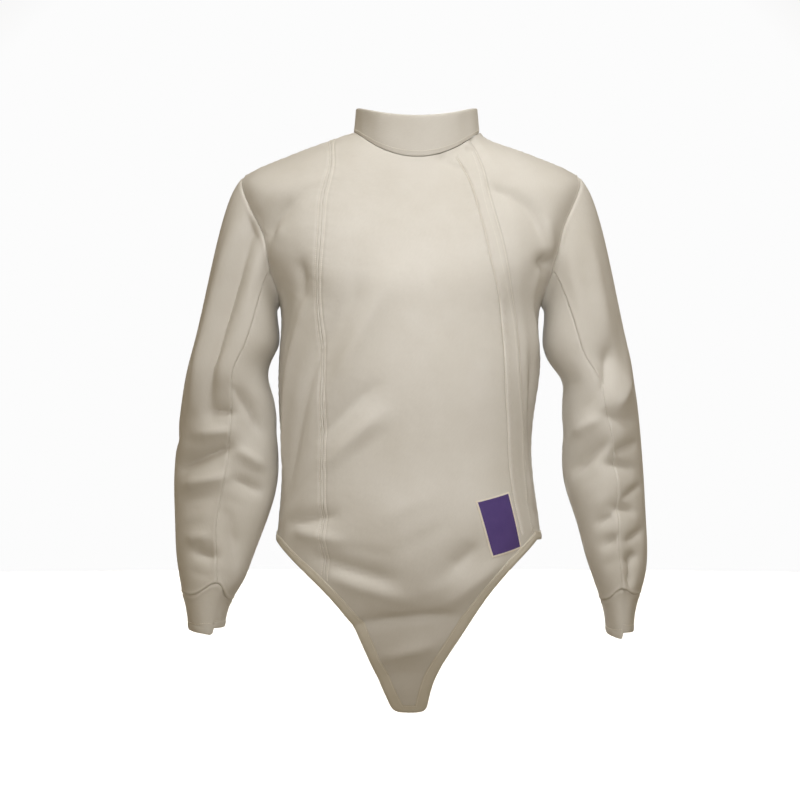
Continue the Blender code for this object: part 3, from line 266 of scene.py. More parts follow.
# Troughs (below zero) and ridges: angles run round the body from the middle of the front towards
# the wearer's left; heights, widths and depths are in millimetres.
BODY_RADIUS = 168
FOLD_COLUMNS = ("from_angle", "from_height", "to_angle", "to_height", "width", "depth")
BODY_FOLDS = (
    (-38, -92, -57, -142, 17, -7), (-45, -128, -60, -168, 13, 4), (-40, -176, -50, -226, 15, -6),
    (-46, -211, -78, -437, 15, 4), (-30, -235, -66, -470, 17, -4), (-17, -188, -38, -336, 20, -3),
    (-7, -190, -32, -345, 20, 3), (-34, -440, -10, -372, 16, 3), (-38, -405, -14, -340, 16, -3),
    (-31, -508, -60, -520, 13, -5), (-28, -541, -55, -527, 13, 4), (-40, -562, -8, -590, 15, -6),
    (-30, -588, -2, -620, 15, 4), (-22, -654, 18, -640, 18, -8), (-12, -696, 9, -680, 15, 5),
    (12, -628, 38, -568, 17, 4), (16, -578, 26, -548, 16, -4), (30, -80, 50, -150, 15, -5),
    (47, -120, 58, -165, 13, 4), (50, -172, 62, -182, 12, -7), (54, -190, 72, -285, 14, 3),
    (62, -300, 80, -420, 15, -4), (125, -100, 142, -165, 18, -6), (118, -150, 150, -250, 18, 4),
    (150, -330, 205, -350, 20, -3), (128, -415, 175, -432, 18, -5), (185, -440, 232, -420, 18, -5),
    (150, -470, 210, -475, 18, 4), (140, -505, 190, -520, 16, -4), (218, -165, 235, -100, 18, -6),
    (210, -250, 242, -150, 18, 4), (100, -250, 108, -420, 16, -4), (252, -250, 260, -420, 16, 4),
)
# Small creases between the folds, too fine for the solids
BODY_CREASES = (
    (-50, -96, -62, -118, 7, -1.6), (-33, -60, -47, -84, 9, 1.4), (-54, -146, -66, -170, 7, -1.5),
    (-60, -212, -72, -262, 8, -1.8), (-56, -236, -70, -300, 7, 1.4), (-66, -318, -74, -372, 8, -1.4),
    (-52, -330, -64, -396, 9, 1.2), (-44, -452, -58, -486, 8, -1.5), (-64, -470, -78, -506, 8, -1.6),
    (-58, -498, -76, -522, 7, 1.4), (-24, -430, -6, -396, 9, -1.2), (-10, -512, 8, -480, 10, 1.2),
    (-4, -556, 14, -520, 9, -1.3), (-26, -548, -8, -560, 8, -1.5), (-18, -606, 2, -632, 8, -1.6),
    (4, -612, 22, -590, 8, 1.5), (6, -668, 16, -650, 8, -1.4), (-14, -724, 6, -716, 9, -2.0),
    (-10, -748, 4, -742, 7, 1.4), (10, -250, 24, -330, 12, -1.0), (22, -130, 34, -176, 9, 1.2),
    (21, -34, 27, -52, 8, -3.0), (30, -176, 38, -230, 9, 1.3), (36, -92, 44, -120, 7, -1.4),
    (52, -140, 60, -160, 6, -1.6), (58, -204, 66, -240, 7, -1.6), (64, -250, 72, -300, 7, 1.4),
    (70, -340, 80, -380, 8, -1.4), (66, -430, 76, -480, 8, 1.4), (62, -490, 84, -512, 8, -1.8),
    (100, -300, 118, -340, 9, -1.6), (112, -360, 140, -372, 9, 1.4), (130, -440, 160, -452, 8, -1.8),
    (144, -486, 176, -494, 8, 1.6), (186, -462, 214, -452, 8, -1.8), (200, -496, 232, -488, 8, -1.5),
    (196, -386, 226, -376, 10, 1.3), (150, -200, 172, -216, 12, -1.2),
    (190, -210, 212, -190, 12, -1.2), (136, -64, 150, -96, 10, -1.4), (212, -92, 224, -64, 10, -1.4),
    (238, -330, 256, -296, 9, -1.6),
)


def spline(knots, values):
    """A natural cubic spline through the values at the knots, which rise."""
    knots = np.asarray(knots, float)
    values = np.asarray(values, float)
    gaps = np.diff(knots)
    slopes = np.diff(values) / gaps
    count = len(knots)
    system = np.eye(count)
    right_side = np.zeros(count)
    for i in range(1, count - 1):
        system[i, i - 1 : i + 2] = (gaps[i - 1], 2 * (gaps[i - 1] + gaps[i]), gaps[i])
        right_side[i] = 6 * (slopes[i] - slopes[i - 1])
    bend = np.linalg.solve(system, right_side)

    def at(x):
        x = np.clip(x, knots[0], knots[-1])
        i = np.clip(np.searchsorted(knots, x) - 1, 0, count - 2)
        before, after, gap = x - knots[i], knots[i + 1] - x, gaps[i]
        curved = (bend[i] * after**3 + bend[i + 1] * before**3) / (6 * gap)
        first = (values[i] / gap - bend[i] * gap / 6) * after
        second = (values[i + 1] / gap - bend[i + 1] * gap / 6) * before
        return curved + first + second

    return at


def columns_of(names, rows, key, scales):
    """A spline over the key column for each other column of a table."""
    table = {name: [row[i] for row in rows] for i, name in enumerate(names)}
    order = np.argsort(table[key])
    knots = np.array(table[key], float)[order] * scales.get(key, MM)
    found = {}
    for name in names:
        if name != key:
            found[name] = spline(knots, np.array(table[name], float)[order] * scales.get(name, MM))
    return found


BODY = columns_of(BODY_COLUMNS, BODY_RINGS, "height", {"squareness": 1.0})


FOLD_FADE = 0.6  # how much of its depth a fold has lost at its ends


def ridge(away, height, width, at=0.0):
    """A soft ridge over a distance, or a dip below zero, with its middle at a distance along."""
    return height * np.exp(-(((away - at) / width) ** 2))


def fold_height(angle, height, folds, radius):
    """How far the folds move the cloth outwards, at angles in degrees and heights in metres."""
    moved = np.zeros(np.broadcast(angle, height).shape)
    across = np.radians(angle) * radius * MM
    whole_turn = 2 * math.pi * radius * MM
    for row in folds:
        fold = dict(zip(FOLD_COLUMNS, row))
        start = np.array([math.radians(fold["from_angle"]) * radius, fold["from_height"]]) * MM
        end = np.array([math.radians(fold["to_angle"]) * radius, fold["to_height"]]) * MM
        run = end - start
        middle = (start[0] + end[0]) / 2
        near = across - np.round((across - middle) / whole_turn) * whole_turn
        along = ((near - start[0]) * run[0] + (height - start[1]) * run[1]) / (run @ run)
        along = np.clip(along, 0, 1)
        away = np.hypot(near - start[0] - along * run[0], height - start[1] - along * run[1])
        fading = 1 - FOLD_FADE * np.abs(2 * along - 1) ** 3
        moved = moved + ridge(away, fold["depth"] * MM * fading, fold["width"] * MM)
    return moved


def body_form(angle, height):
    """Points of the plain body form. The angle is in radians from the front middle."""
    ring = {name: value(height) for name, value in BODY.items()}
    sine, cosine = np.sin(angle), np.cos(angle)
    depth = np.where(cosine > 0, ring["front"], ring["back"])
    drop = np.where(cosine > 0, ring["front_drop"], ring["back_drop"])
    x = ring["centre"] + ring["half_width"] * sine * (1 + ring["squareness"] * cosine**2)
    y = -depth * cosine * (1 + ring["squareness"] * sine**2)
    return np.stack([x, y, height - drop * cosine**2], axis=-1)


# How stiff cloth breaks: a narrow core to each fold, as shares of its width and depth
CORE_WIDTH = 0.42
CORE_DEPTH = 0.75


def with_cores(folds):
    """The folds, with a narrower one along the middle of each, as stiff cloth breaks."""
    cores = [(*row[:4], row[4] * CORE_WIDTH, row[5] * CORE_DEPTH) for row in folds]
    return (*folds, *cores)


BODY_DETAIL = (*with_cores(BODY_FOLDS), *BODY_CREASES)
FINE_STEPS = (1e-4, 1e-5)


def unit(vectors):
    """Vectors, along the last axis, at a length of 1."""
    return vectors / np.linalg.norm(vectors, axis=-1, keepdims=True)


def slope_normals(surface, first, second):
    """Unit normals of a surface of an angle and a height, from its slopes."""
    turn, rise = FINE_STEPS
    along_first = surface(first + turn, second) - surface(first - turn, second)
    along_second = surface(first, second + rise) - surface(first, second - rise)
    return unit(np.cross(along_first, along_second))


def body_cloth(angle, height):
    """The body form with its folds and creases."""
    flat = body_form(angle, height)
    normals = slope_normals(body_form, angle, height)
    folds = fold_height(np.degrees(angle), flat[..., 2], BODY_DETAIL, BODY_RADIUS)
    return flat + normals * folds[..., None]


# Pattern plane
# The body form laid flat, as a cutter lays cloth: distance round the body across, and distance
# up it. Seams and edges are drawn here and every panel is filled here.
HEIGHTS = np.linspace(BODY_RINGS[0][0] * MM, NECK_RING, 900)


def ring_radius(height):
    """Half of a ring's length over pi, which turns angles into distances on the pattern plane."""
    angles = np.linspace(-math.pi, math.pi, 121)
    points = body_form(angles[None, :], np.asarray(height)[:, None])
    return np.linalg.norm(np.diff(points, axis=1), axis=2).sum(axis=1) / (2 * math.pi)


def lengths_along(points):
    """Distance from the first point of a line to each of its points."""
    return np.concatenate([[0], np.cumsum(np.linalg.norm(np.diff(points, axis=0), axis=1))])


RADII = ring_radius(HEIGHTS)
MERIDIAN = body_form(np.full_like(HEIGHTS, math.radians(45)), HEIGHTS)
LENGTHS = lengths_along(MERIDIAN)


def to_pattern(angle, height, centre=0.0):
    """The point of a pattern plane, laid flat about a centre angle, for an angle and a height."""
    radius = np.interp(height, HEIGHTS, RADII)
    return np.stack([(angle - centre) * radius, np.interp(height, HEIGHTS, LENGTHS)], axis=-1)


def from_pattern(points, centre=0.0):
    """The angle and ring height of points on a pattern plane."""
    height = np.interp(points[..., 1], LENGTHS, HEIGHTS)
    return points[..., 0] / np.interp(height, HEIGHTS, RADII) + centre, height


def angle_across(across, height):
    """The ring angle at which the front of a ring reaches a distance across."""
    reach = (across - BODY["centre"](height)) / BODY["half_width"](height)
    angle = np.zeros_like(reach)
    for _ in range(12):
        share = reach / (1 + BODY["squareness"](height) * np.cos(angle) ** 2)
        angle = np.arcsin(np.clip(share, -1, 1))
    return angle


def front_to_ring(across, z):
    """The angles and ring heights of front points at distances across and true heights."""
    low, high = np.array(z, float), np.full_like(z, NECK_RING)
    for _ in range(40):
        height = (low + high) / 2
        drop = BODY["front_drop"](height) * np.cos(angle_across(across, height)) ** 2
        above = height - drop > z
        high = np.where(above, height, high)
        low = np.where(above, low, height)
    return angle_across(across, high), high


def evenly(points, step=SEAM_STEP, count=None):
    """Points along a line of points, the same distance apart, with both ends kept."""
    points = np.asarray(points, float)
    lengths = lengths_along(points)
    count = count or max(2, round(lengths[-1] / step) + 1)
    wanted = np.linspace(0, lengths[-1], count)
    return np.stack([np.interp(wanted, lengths, points[:, i]) for i in range(points.shape[1])], axis=1)


def front_line(rows):
    """A seam given by front-view points in millimetres, as evenly spaced pattern points."""
    rows = np.array(rows, float) * MM
    lengths = lengths_along(rows)
    wanted = np.linspace(0, lengths[-1], 240)
    smooth = [spline(lengths, rows[:, i])(wanted) for i in range(2)]
    return evenly(to_pattern(*front_to_ring(*smooth)))


def ring_line(angles, height):
    """A stretch of one ring between two angles in degrees."""
    turns = np.radians(np.linspace(*angles, 60))
    return evenly(to_pattern(turns, np.full_like(turns, height)))


def rise_line(angle, heights):
    """A seam up the body at one angle in degrees, between two ring heights."""
    rise = np.linspace(*heights, 200)
    return evenly(to_pattern(np.full_like(rise, math.radians(angle)), rise))


def beside(line, width, first_way=None, last_way=None):
    """A line moved to its left by a width. Its ends slide along the seams they stand on."""
    runs = unit(np.diff(line, axis=0))
    sides = np.stack([-runs[:, 1], runs[:, 0]], axis=1)
    both = sides[:-1] + sides[1:]
    moved = line.copy()
    moved[1:-1] += both * (2 * width / np.sum(both**2, axis=1))[:, None]
    for end, way, side in ((0, first_way, sides[0]), (-1, last_way, sides[-1])):
        way = side if way is None else way
        moved[end] += way * (width / (way @ side))
    return moved


def way_of(line):
    """The unit direction from a line's last point back along it."""
    back = line[-2] - line[-1]
    return back / np.linalg.norm(back)


def softened(line, passes):
    """A line with its corners rounded off, by sharing each point with its neighbours."""
    line = line.copy()
    for _ in range(passes):
        line[1:-1] = (line[:-2] + 2 * line[1:-1] + line[2:]) / 4
    return line


# Seams and edges of the body
# The wide front takes the fly on the wearer's left and the shaped seam on the right; the hem
# runs from the side seams down to the tail. Front-view distances in millimetres.
TAPE_WIDTH = 10.5 * MM
PRINCESS_SEAM = (
    (-117, -7), (-114, -45), (-123, -86), (-126, -128), (-130, -190),
    (-128, -255), (-125, -335), (-124, -420), (-124, -505), (-121, -608),
)
FLY_EDGE = (
    (76, -20), (88, -50), (97, -88), (108, -130), (118, -177), (125, -220), (131, -262),
    (135, -310), (138, -350), (141, -395), (142, -440), (146, -480), (151, -516), (158, -541),
)
FLY_SEWING = (
    (53, -38), (68, -66), (77.5, -97), (87, -134), (96, -176), (106, -224), (111, -272),
    (114, -315), (115, -345), (118, -385), (119.5, -425), (123.5, -466), (131, -506), (137, -532),
)
HEM_RIGHT = (
    (-188, -543), (-171, -560), (-147, -583), (-120, -609), (-104, -627), (-79, -664),
    (-62, -701), (-47, -735), (-31, -773),
)
HEM_LEFT = (
    (11, -773), (18, -738), (37, -697), (62, -658), (86, -620), (113, -586), (138, -561),
    (158, -541),
)
BACK_HEM_DIP = 14 * MM

# Armhole seam: the turn round it from the shoulder tip towards the front, and the ring angle
# away from the front middle and ring height that it crosses there
ARMHOLE_FRONT = (
    (0, 90.0, -57), (25, 77.0, -66), (50, 68.5, -84), (75, 64.0, -105),
    (100, 62.0, -128), (125, 63.5, -155), (150, 70.5, -189), (180, 90.0, -227),
)
SLEEVE_SEAM_TURN = 0.345


def armhole_splines():
    """Smooth closed curves through the armhole table, mirrored from front to back."""
    table = np.array(ARMHOLE_FRONT, float)
    turns = np.concatenate([table[:, 0] - 360, -table[-2:0:-1, 0], table[:-1, 0], 360 - table[::-1, 0]])
    away = 90 - table[:, 1]
    swing = np.concatenate([away, -away[-2:0:-1], away[:-1], -away[::-1]])
    rise = table[:, 2]
    rises = np.concatenate([rise, rise[-2:0:-1], rise[:-1], rise[::-1]])
    return spline(turns, swing), spline(turns, rises)


ARMHOLE_SWING, ARMHOLE_RISE = armhole_splines()


def armhole_at(turn):
    """Angle in degrees and ring height at a share of a turn round the armhole, 0 at the tip."""
    degrees = (np.asarray(turn) * 360 + 180) % 360 - 180
    return 90 - ARMHOLE_SWING(degrees), ARMHOLE_RISE(degrees) * MM


ARMHOLE_DENSE = np.linspace(0, 1, 721)
dense_angle, dense_height = armhole_at(ARMHOLE_DENSE)
dense_lengths = lengths_along(body_form(np.radians(dense_angle), dense_height))
half_way = dense_lengths[len(ARMHOLE_DENSE) // 2]
ARMHOLE_LENGTHS = np.interp(dense_lengths, (0, half_way, dense_lengths[-1]), (0, 0.5, 1))


def armhole_share(length):
    """The turn round the armhole at a share of the seam's length."""
    return np.interp(np.asarray(length) % 1.0, ARMHOLE_LENGTHS, ARMHOLE_DENSE)


def armhole_line(side, front):
    """Half of the armhole seam, from the underarm up to the shoulder tip."""
    length = np.linspace(0.5, 0.0, 61) if front else np.linspace(0.5, 0.99999, 61)
    angle, height = armhole_at(armhole_share(length))
    return to_pattern(side * np.radians(angle), height)


lines = {
    "princess": front_line(PRINCESS_SEAM),
    "fly": front_line(FLY_EDGE),
    "fly_sewing": front_line(FLY_SEWING),
    "side_right": rise_line(-90, (SIDE_HEM, UNDERARM)),
    "side_left": rise_line(90, (SIDE_HEM, UNDERARM)),
}
hem_parts = [front_line(HEM_RIGHT), front_line(HEM_LEFT)]
hem_parts[0][0] = lines["side_right"][0]
tail_end = evenly([hem_parts[0][-1], hem_parts[1][0]])
hem = softened(np.concatenate([hem_parts[0][:-1], tail_end[:-1], hem_parts[1]]), 5)
lines["fly"][-1] = hem[-1]
princess_foot = int(np.argmin(np.linalg.norm(hem - lines["princess"][-1], axis=1)))
lines["princess"][-1] = hem[princess_foot]
princess_ring = from_pattern(lines["princess"][0])[1]
lines["princess"][0] = to_pattern(math.radians(-90), princess_ring)
shoulder_tip = armhole_at(0.0)[1]
lines["shoulder_right"] = rise_line(-90, (shoulder_tip, princess_ring))
lines["shoulder_neck"] = rise_line(-90, (princess_ring, NECK_RING))
lines["shoulder_left"] = rise_line(90, (shoulder_tip, NECK_RING))
fly_angle = math.degrees(from_pattern(lines["fly"][0])[0])
lines["fly"][0] = to_pattern(math.radians(fly_angle), NECK_RING)
lines["neck_front"] = ring_line((fly_angle, -90), NECK_RING)
lines["neck_back"] = ring_line((270, 90), NECK_RING)


# Cutting and wrapping a panel
# Each panel is filled with small triangles on the pattern plane, closer along its seams, then
# wrapped onto the body as a wall of its cloth's thickness.
SEAM_INSET = 0.05 * MM
EDGE_ROWS = (1.0 * MM, 2.4 * MM, 4.0 * MM, 5.6 * MM, 8.5 * MM)
ROW_CLEARANCE = 1.5 * MM
LATTICE_CLEARANCE = 2.6 * MM
SHARPEST_LEAN = 0.35
TAPE_CLEARANCE = 1 * MM
RELIEF_FADE = 8 * MM
NEEDLE_GAUGE = 3.9 * MM
STITCH_PITCH = 2.6 * MM
SEAM_NIP = 0.15 * MM
NIP_WIDTH = 0.8 * MM
NEEDLE_DIP = (-1.1 * MM, 1.0 * MM)
ALLOWANCE_PAST = 0.5 * MM
ALLOWANCE_FALL = 2.2 * MM
PUCKER = 0.28 * MM
PUCKER_START = 2 * MM
PUCKER_REACH = 10 * MM
SEAM_RIPPLE = (2.3 * MM, 1.9, 9.3 * MM)
FLAT_SEAM, SET_SEAM, FACED_EDGE = 0.35 * MM, 1.2 * MM, 1.5 * MM


def smooth_step(x):
    x = np.clip(x, 0, 1)
    return x * x * (3 - 2 * x)


def turned_in(outline, inset):
    """A closed outline, anticlockwise, moved inwards by an inset."""
    before = unit(outline - np.roll(outline, 1, axis=0))
    after = unit(np.roll(outline, -1, axis=0) - outline)
    inward = np.stack([-before[:, 1] - after[:, 1], before[:, 0] + after[:, 0]], axis=1)
    length = np.linalg.norm(inward, axis=1, keepdims=True)
    inward /= np.maximum(length, 1e-9)
    lean = np.maximum(length[:, 0] / 2, SHARPEST_LEAN)
    return outline + inward * (inset / lean)[:, None]


def inside(outline, points):
    """Which points lie inside a closed outline."""
    found = np.zeros(len(points), bool)
    x, y = points[:, 0], points[:, 1]
    for (x1, y1), (x2, y2) in zip(outline, np.roll(outline, -1, axis=0)):
        crosses = (y1 > y) != (y2 > y)
        if y1 != y2:
            found ^= crosses & (x < (x2 - x1) * (y - y1) / (y2 - y1) + x1)
    return found


def nearest_on_line(line, points):
    """Each point's distance from an open line of points, and how far along the line that is."""
    nearest = np.full(len(points), np.inf)
    along = np.zeros(len(points))
    passed = 0.0
    for start, end in zip(line[:-1], line[1:]):
        run = end - start
        length = math.sqrt(run @ run)
        share = np.clip(((points - start) @ run) / max(length**2, 1e-18), 0, 1)
        away = np.linalg.norm(points - start - share[:, None] * run, axis=1)
        closer = away < nearest
        nearest = np.where(closer, away, nearest)
        along = np.where(closer, passed + share * length, along)
        passed += length
    return nearest, along


def distance_to(outline, points):
    """Each point's distance from a closed outline."""
    return nearest_on_line(np.concatenate([outline, outline[:1]]), points)[0]


def filled(outline, rows):
    """Points and triangles that fill an outline: its own edge rows, the rows given, and an even
    lattice in between."""
    low, high = outline.min(axis=0), outline.max(axis=0)
    row_step = BODY_STEP * math.sqrt(3) / 2
    lattice = []
    for j, y in enumerate(np.arange(low[1] + row_step / 2, high[1], row_step)):
        shift = BODY_STEP / 2 if j % 2 else 0.0
        lattice += [(x, y) for x in np.arange(low[0] + shift, high[0], BODY_STEP)]
    lattice = np.array(lattice)
    lattice = lattice[inside(outline, lattice)]
    lattice = lattice[distance_to(outline, lattice) > EDGE_ROWS[-1] + 0.5 * BODY_STEP]
    made = [outline]
    for width in EDGE_ROWS:
        row = turned_in(outline, width)
        row = row[inside(outline, row)]
        made.append(row[distance_to(outline, row) > 0.9 * width])
    for row in rows:
        row = row[inside(outline, row)]
        row = row[distance_to(outline, row) > EDGE_ROWS[-1] + ROW_CLEARANCE]
        if len(row):
            lattice = lattice[nearest_on_line(row, lattice)[0] > LATTICE_CLEARANCE]
            made.append(row)
    points = np.concatenate([*made, lattice])
    loop = [list(range(len(outline)))]
    joined_up = delaunay_2d_cdt([Vector(p) for p in points], [], loop, 1, 1e-6)
    return np.array([tuple(p) for p in joined_up[0]]), np.array([tuple(f) for f in joined_up[2]])


def ripple(along, length, sway, drift):
    """Puckers along a seam, from -1 to 1, whose length drifts."""
    return np.sin(along / length + sway * np.sin(along / drift))


def seam_relief(flat, seams):
    """How far sewing lifts or pulls in the outer face: a nip on the seam, the folded allowance
    out to the last row of stitches, a dip along each row, and puckers that die out beyond."""
    lift = np.zeros(len(flat))
    for line, rows, allowance in seams:
        away, along = nearest_on_line(line, flat)
        lift += allowance * (1 - smooth_step((away - max(rows) - ALLOWANCE_PAST) / ALLOWANCE_FALL))
        lift -= ridge(away, SEAM_NIP + allowance, NIP_WIDTH)
        for row in rows:
            lift += ridge(away, *NEEDLE_DIP, row)
        spread = np.clip(away / PUCKER_START, 0, 1) * ridge(away, 1, PUCKER_REACH)
        lift += PUCKER * ripple(along, *SEAM_RIPPLE) * spread
    return lift


def outer_face(surface, flat, seams, edge=None, centre=0.0):
    """Points of a panel's middle and outer face at pattern points, and the normals there."""
    angle, height = from_pattern(flat, centre)
    middles = surface(angle, height)
    normals = slope_normals(surface, angle, height)
    relief = seam_relief(flat, seams)
    if edge is not None:
        from_tape = nearest_on_line(edge, flat)[0] - TAPE_WIDTH - TAPE_CLEARANCE
        relief *= smooth_step(from_tape / RELIEF_FADE)
    return middles, middles + normals * (BODY_WALL / 2 + relief)[:, None], normals


def add_piece(name, node, points, faces, uv, cloth):
    """A closed piece of cloth with its cut as a UV map, riding on the jacket in a node's place."""
    mesh = bpy.data.meshes.new(name)
    mesh.from_pydata(np.asarray(points).tolist(), [], faces)
    mesh.validate()
    corners = np.empty(len(mesh.loops), np.int32)
    mesh.loops.foreach_get("vertex_index", corners)
    layer = mesh.uv_layers.new(name="cut")
    layer.data.foreach_set("uv", np.asarray(uv, np.float32)[corners].ravel())
    shell = bmesh.new()
    shell.from_mesh(mesh)
    bmesh.ops.recalc_face_normals(shell, faces=shell.faces[:])
    shell.to_mesh(mesh)
    shell.free()
    mesh.shade_smooth()
    mesh.set_sharp_from_angle(angle=math.radians(70))
    mesh.materials.append(cloth)
    piece = put_in_scene(name, mesh)
    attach(piece, "root")
    if node:
        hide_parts(node)
    return piece


def wall(name, node, outer, inner, triangles, uv, cloth):
    """A closed wall between an outer and an inner face that share their triangles."""
    count = len(outer)
    faces = [tuple(int(i) for i in f) for f in triangles]
    edges = {(f[i], f[(i + 1) % len(f)]) for f in faces for i in range(len(f))}
    rim = sorted((a, b) for a, b in edges if (b, a) not in edges)
    faces += [tuple(i + count for i in reversed(f)) for f in faces]
    faces += [(b, a, a + count, b + count) for a, b in rim]
    points = np.concatenate([outer, inner])
    return add_piece(name, node, points, faces, np.concatenate([uv, uv]), cloth)


def cloth_panel(name, node, outline, surface, seams, edge=None, rows=(), centre=0.0):
    """A body panel cut from the pattern plane and wrapped onto the body."""
    outline = turned_in(outline, SEAM_INSET)
    flat, triangles = filled(outline, rows)
    middles, outer, normals = outer_face(surface, flat, seams, edge, centre)
    inner = middles - normals * BODY_WALL / 2
    piece = wall(name, node, outer, inner, triangles, flat, drill_cloth)
    return piece


def joined(*parts):
    """One closed outline from lines that follow each other, with shared ends kept once."""
    return np.concatenate([part[:-1] for part in parts])


# Wide front with the fly
# One piece of drill from the shaped seam round to the free edge of the fly on the wearer's left,
# running down into the tail. The fly's facing is topstitched in three rows.
FLY_EDGE_ROWS = (2.2 * MM, 8.0 * MM)
FLY_DIP = (-1.3 * MM, 1.1 * MM)
FLY_SWELL = (0.9 * MM, 2.2 * MM, 3.0 * MM)
FLY_PUCKER = 0.35 * MM
FLY_PUCKER_REACH = 7 * MM
FLY_RIPPLE = (2.0 * MM, 1.7, 8.1 * MM)
twin = (NEEDLE_GAUGE,)
princess_seam = (lines["princess"], twin, FLAT_SEAM)
fly_hem = (lines["fly"], FLY_EDGE_ROWS, FACED_EDGE)
front_seams = (princess_seam, fly_hem, (lines["shoulder_neck"], twin, SET_SEAM))
front_outline = joined(
    hem[princess_foot:],
    lines["fly"][::-1],
    lines["neck_front"],
    lines["shoulder_neck"][::-1],
    lines["princess"],
)


def fly_relief(flat):
    """The facing's single inner row of sewing, which dips, and the thickness up to the edge."""
    away, along = nearest_on_line(lines["fly_sewing"], flat)
    edge_away = nearest_on_line(lines["fly"], flat)[0]
    puckers = FLY_PUCKER * ripple(along, *FLY_RIPPLE) * ridge(away, 1, FLY_PUCKER_REACH)
    return ridge(away, *FLY_DIP) + ridge(away, *FLY_SWELL) + puckers * (edge_away > MM)


sewing_rows = [beside(lines["fly_sewing"], width * MM) for width in (-3.2, -1.5, 0.0, 1.5, 3.2)]
sewing_rows.append(beside(lines["fly"], 11.0 * MM))
flat, triangles = filled(turned_in(front_outline, SEAM_INSET), sewing_rows)
middles, outer, normals = outer_face(body_cloth, flat, front_seams, hem)
outer += normals * fly_relief(flat)[:, None]
front_drill = wall(
    "front_drill", "front", outer, middles - normals * BODY_WALL / 2, triangles, flat,
    drill_cloth,
)


# Front side on the wearer's right
# A narrow panel between the shaped seam and the side seam, up into the armhole.
side_outline = joined(
    hem[: princess_foot + 1],
    lines["princess"][::-1],
    lines["shoulder_right"][::-1],
    armhole_line(-1, True)[::-1],
    lines["side_right"][::-1],
)
side_right_seams = (
    princess_seam,
    (lines["side_right"], twin, FLAT_SEAM),
    (armhole_line(-1, True), twin, SET_SEAM),
    (lines["shoulder_right"], twin, SET_SEAM),
)
cloth_panel(
    "front_side_right_drill", "front_side_right", side_outline, body_cloth, side_right_seams, hem
)


# Front side on the wearer's left
# The under layer of the closing: it carries the zip and lies a little deeper than the fly.
FLY_DEPTH = 3.6 * MM
FLY_RAMP = 18 * MM
FLY_UNDERLAP = 9 * MM
ZIP_WIDTH = 22 * MM
fly_by_height = lines["fly"][::-1]


def under_layer(angle, height):
    """The body cloth, sunk under the fly and rising back out a little way past its edge."""
    points = to_pattern(angle, height)
    edge_x = np.interp(points[..., 1], fly_by_height[:, 1], fly_by_height[:, 0])
    past = smooth_step((points[..., 0] - edge_x) / FLY_RAMP)
    sink = FLY_DEPTH * (1 - past)
    return body_cloth(angle, height) - slope_normals(body_cloth, angle, height) * sink[..., None]


LEVEL = np.array([1.0, 0.0])
above_hem = lines["fly"][lines["fly"][:, 1] > hem[-1][1] + 2 * TAPE_WIDTH]
under_edge = beside(above_hem, -FLY_UNDERLAP, LEVEL, LEVEL)
zip_far_edge = beside(above_hem, -FLY_UNDERLAP - ZIP_WIDTH - 2 * SEAM_INSET, LEVEL, LEVEL)
FOOT_GAP = 1.5 * MM
hem_start = hem[-1] + np.array([FOOT_GAP, 0.0])
fly_x = np.interp(under_edge[-1][1], fly_by_height[:, 1], fly_by_height[:, 0])
corner = np.array([fly_x, under_edge[-1][1]])
side_hem = evenly([hem_start, lines["side_left"][0]])
neck_angle = math.degrees(from_pattern(under_edge[0])[0])
left_outline = joined(
    evenly([under_edge[-1], corner]),
    evenly([corner, hem_start]),
    side_hem,
    lines["side_left"],
    armhole_line(1, True),
    lines["shoulder_left"],
    ring_line((90, neck_angle), NECK_RING),
    under_edge,
)
side_left_seams = (
    (lines["side_left"], twin, FLAT_SEAM),
    (armhole_line(1, True), twin, SET_SEAM),
    (lines["shoulder_left"], twin, SET_SEAM),
)
fly_rows = [beside(lines["fly"], width * MM) for width in (-2, 0, 2, 5, 7.5, 10, 13, 17)]
cloth_panel(
    "front_side_left_drill", "front_side_left", left_outline, under_layer, side_left_seams,
    side_hem, fly_rows,
)


# Zip under the fly
# A closed zip on woven tape, sewn along the under layer's edge and out of sight inside the
# closing. Its chain is one plain raised bar: neither teeth nor a slider are made.
ZIP_TAPE = 1.0 * MM
ZIP_COIL = (5.0 * MM, 2.4 * MM)
RIB_SCALE = 0.314  # what one band of the wave texture measures at a scale of 1



def woven_ribs(tree, cut, pitch, direction, distortion, detail=2.0):
    """Ribs of a woven tape, a pitch apart on its cut."""
    values = {"Scale": RIB_SCALE / pitch, "Distortion": distortion, "Detail": detail}
    return add_node(
        tree, "ShaderNodeTexWave", values, {"Vector": cut}, bands_direction=direction
    )


# Woven polyester tape: close ribs along its length, a little brighter and smoother than cotton.
zip_tape, tree, shader = new_material(
    "woven_polyester_tape",
    {"Base Color": linear("#D8D3C6"), "Roughness": 0.5, "Sheen Weight": 0.1},
)
cut = add_node(tree, "ShaderNodeUVMap", uv_map="cut").outputs["UV"]
ribs = woven_ribs(tree, cut, 1.0 * MM, "X", 0.3)
tree.links.new(bump(tree, ribs.outputs["Fac"], 0.3, 0.2 * MM), shader.inputs["Normal"])


def sweep(name, node, stations, cloth):
    """A closed piece through stations of the same ring of points, with flat ends. Its UV runs
    round the ring and along the stations."""
    count = len(stations[0])
    points = np.concatenate(stations)
    grid = points.reshape(len(stations), count, 3)
    along = lengths_along(grid.mean(axis=1))
    across = np.stack([lengths_along(ring) for ring in grid])
    uv = np.stack([across, np.repeat(along[:, None], count, axis=1)], axis=-1).reshape(-1, 2)
    faces = []
    for k in range(len(stations) - 1):
        for i in range(count):
            a, b = k * count + i, k * count + (i + 1) % count
            faces.append((a, b, b + count, a + count))
    last = (len(stations) - 1) * count
    faces.append(tuple(range(count - 1, -1, -1)))
    faces.append(tuple(range(last, last + count)))
    return add_piece(name, node, points, faces, uv, cloth)


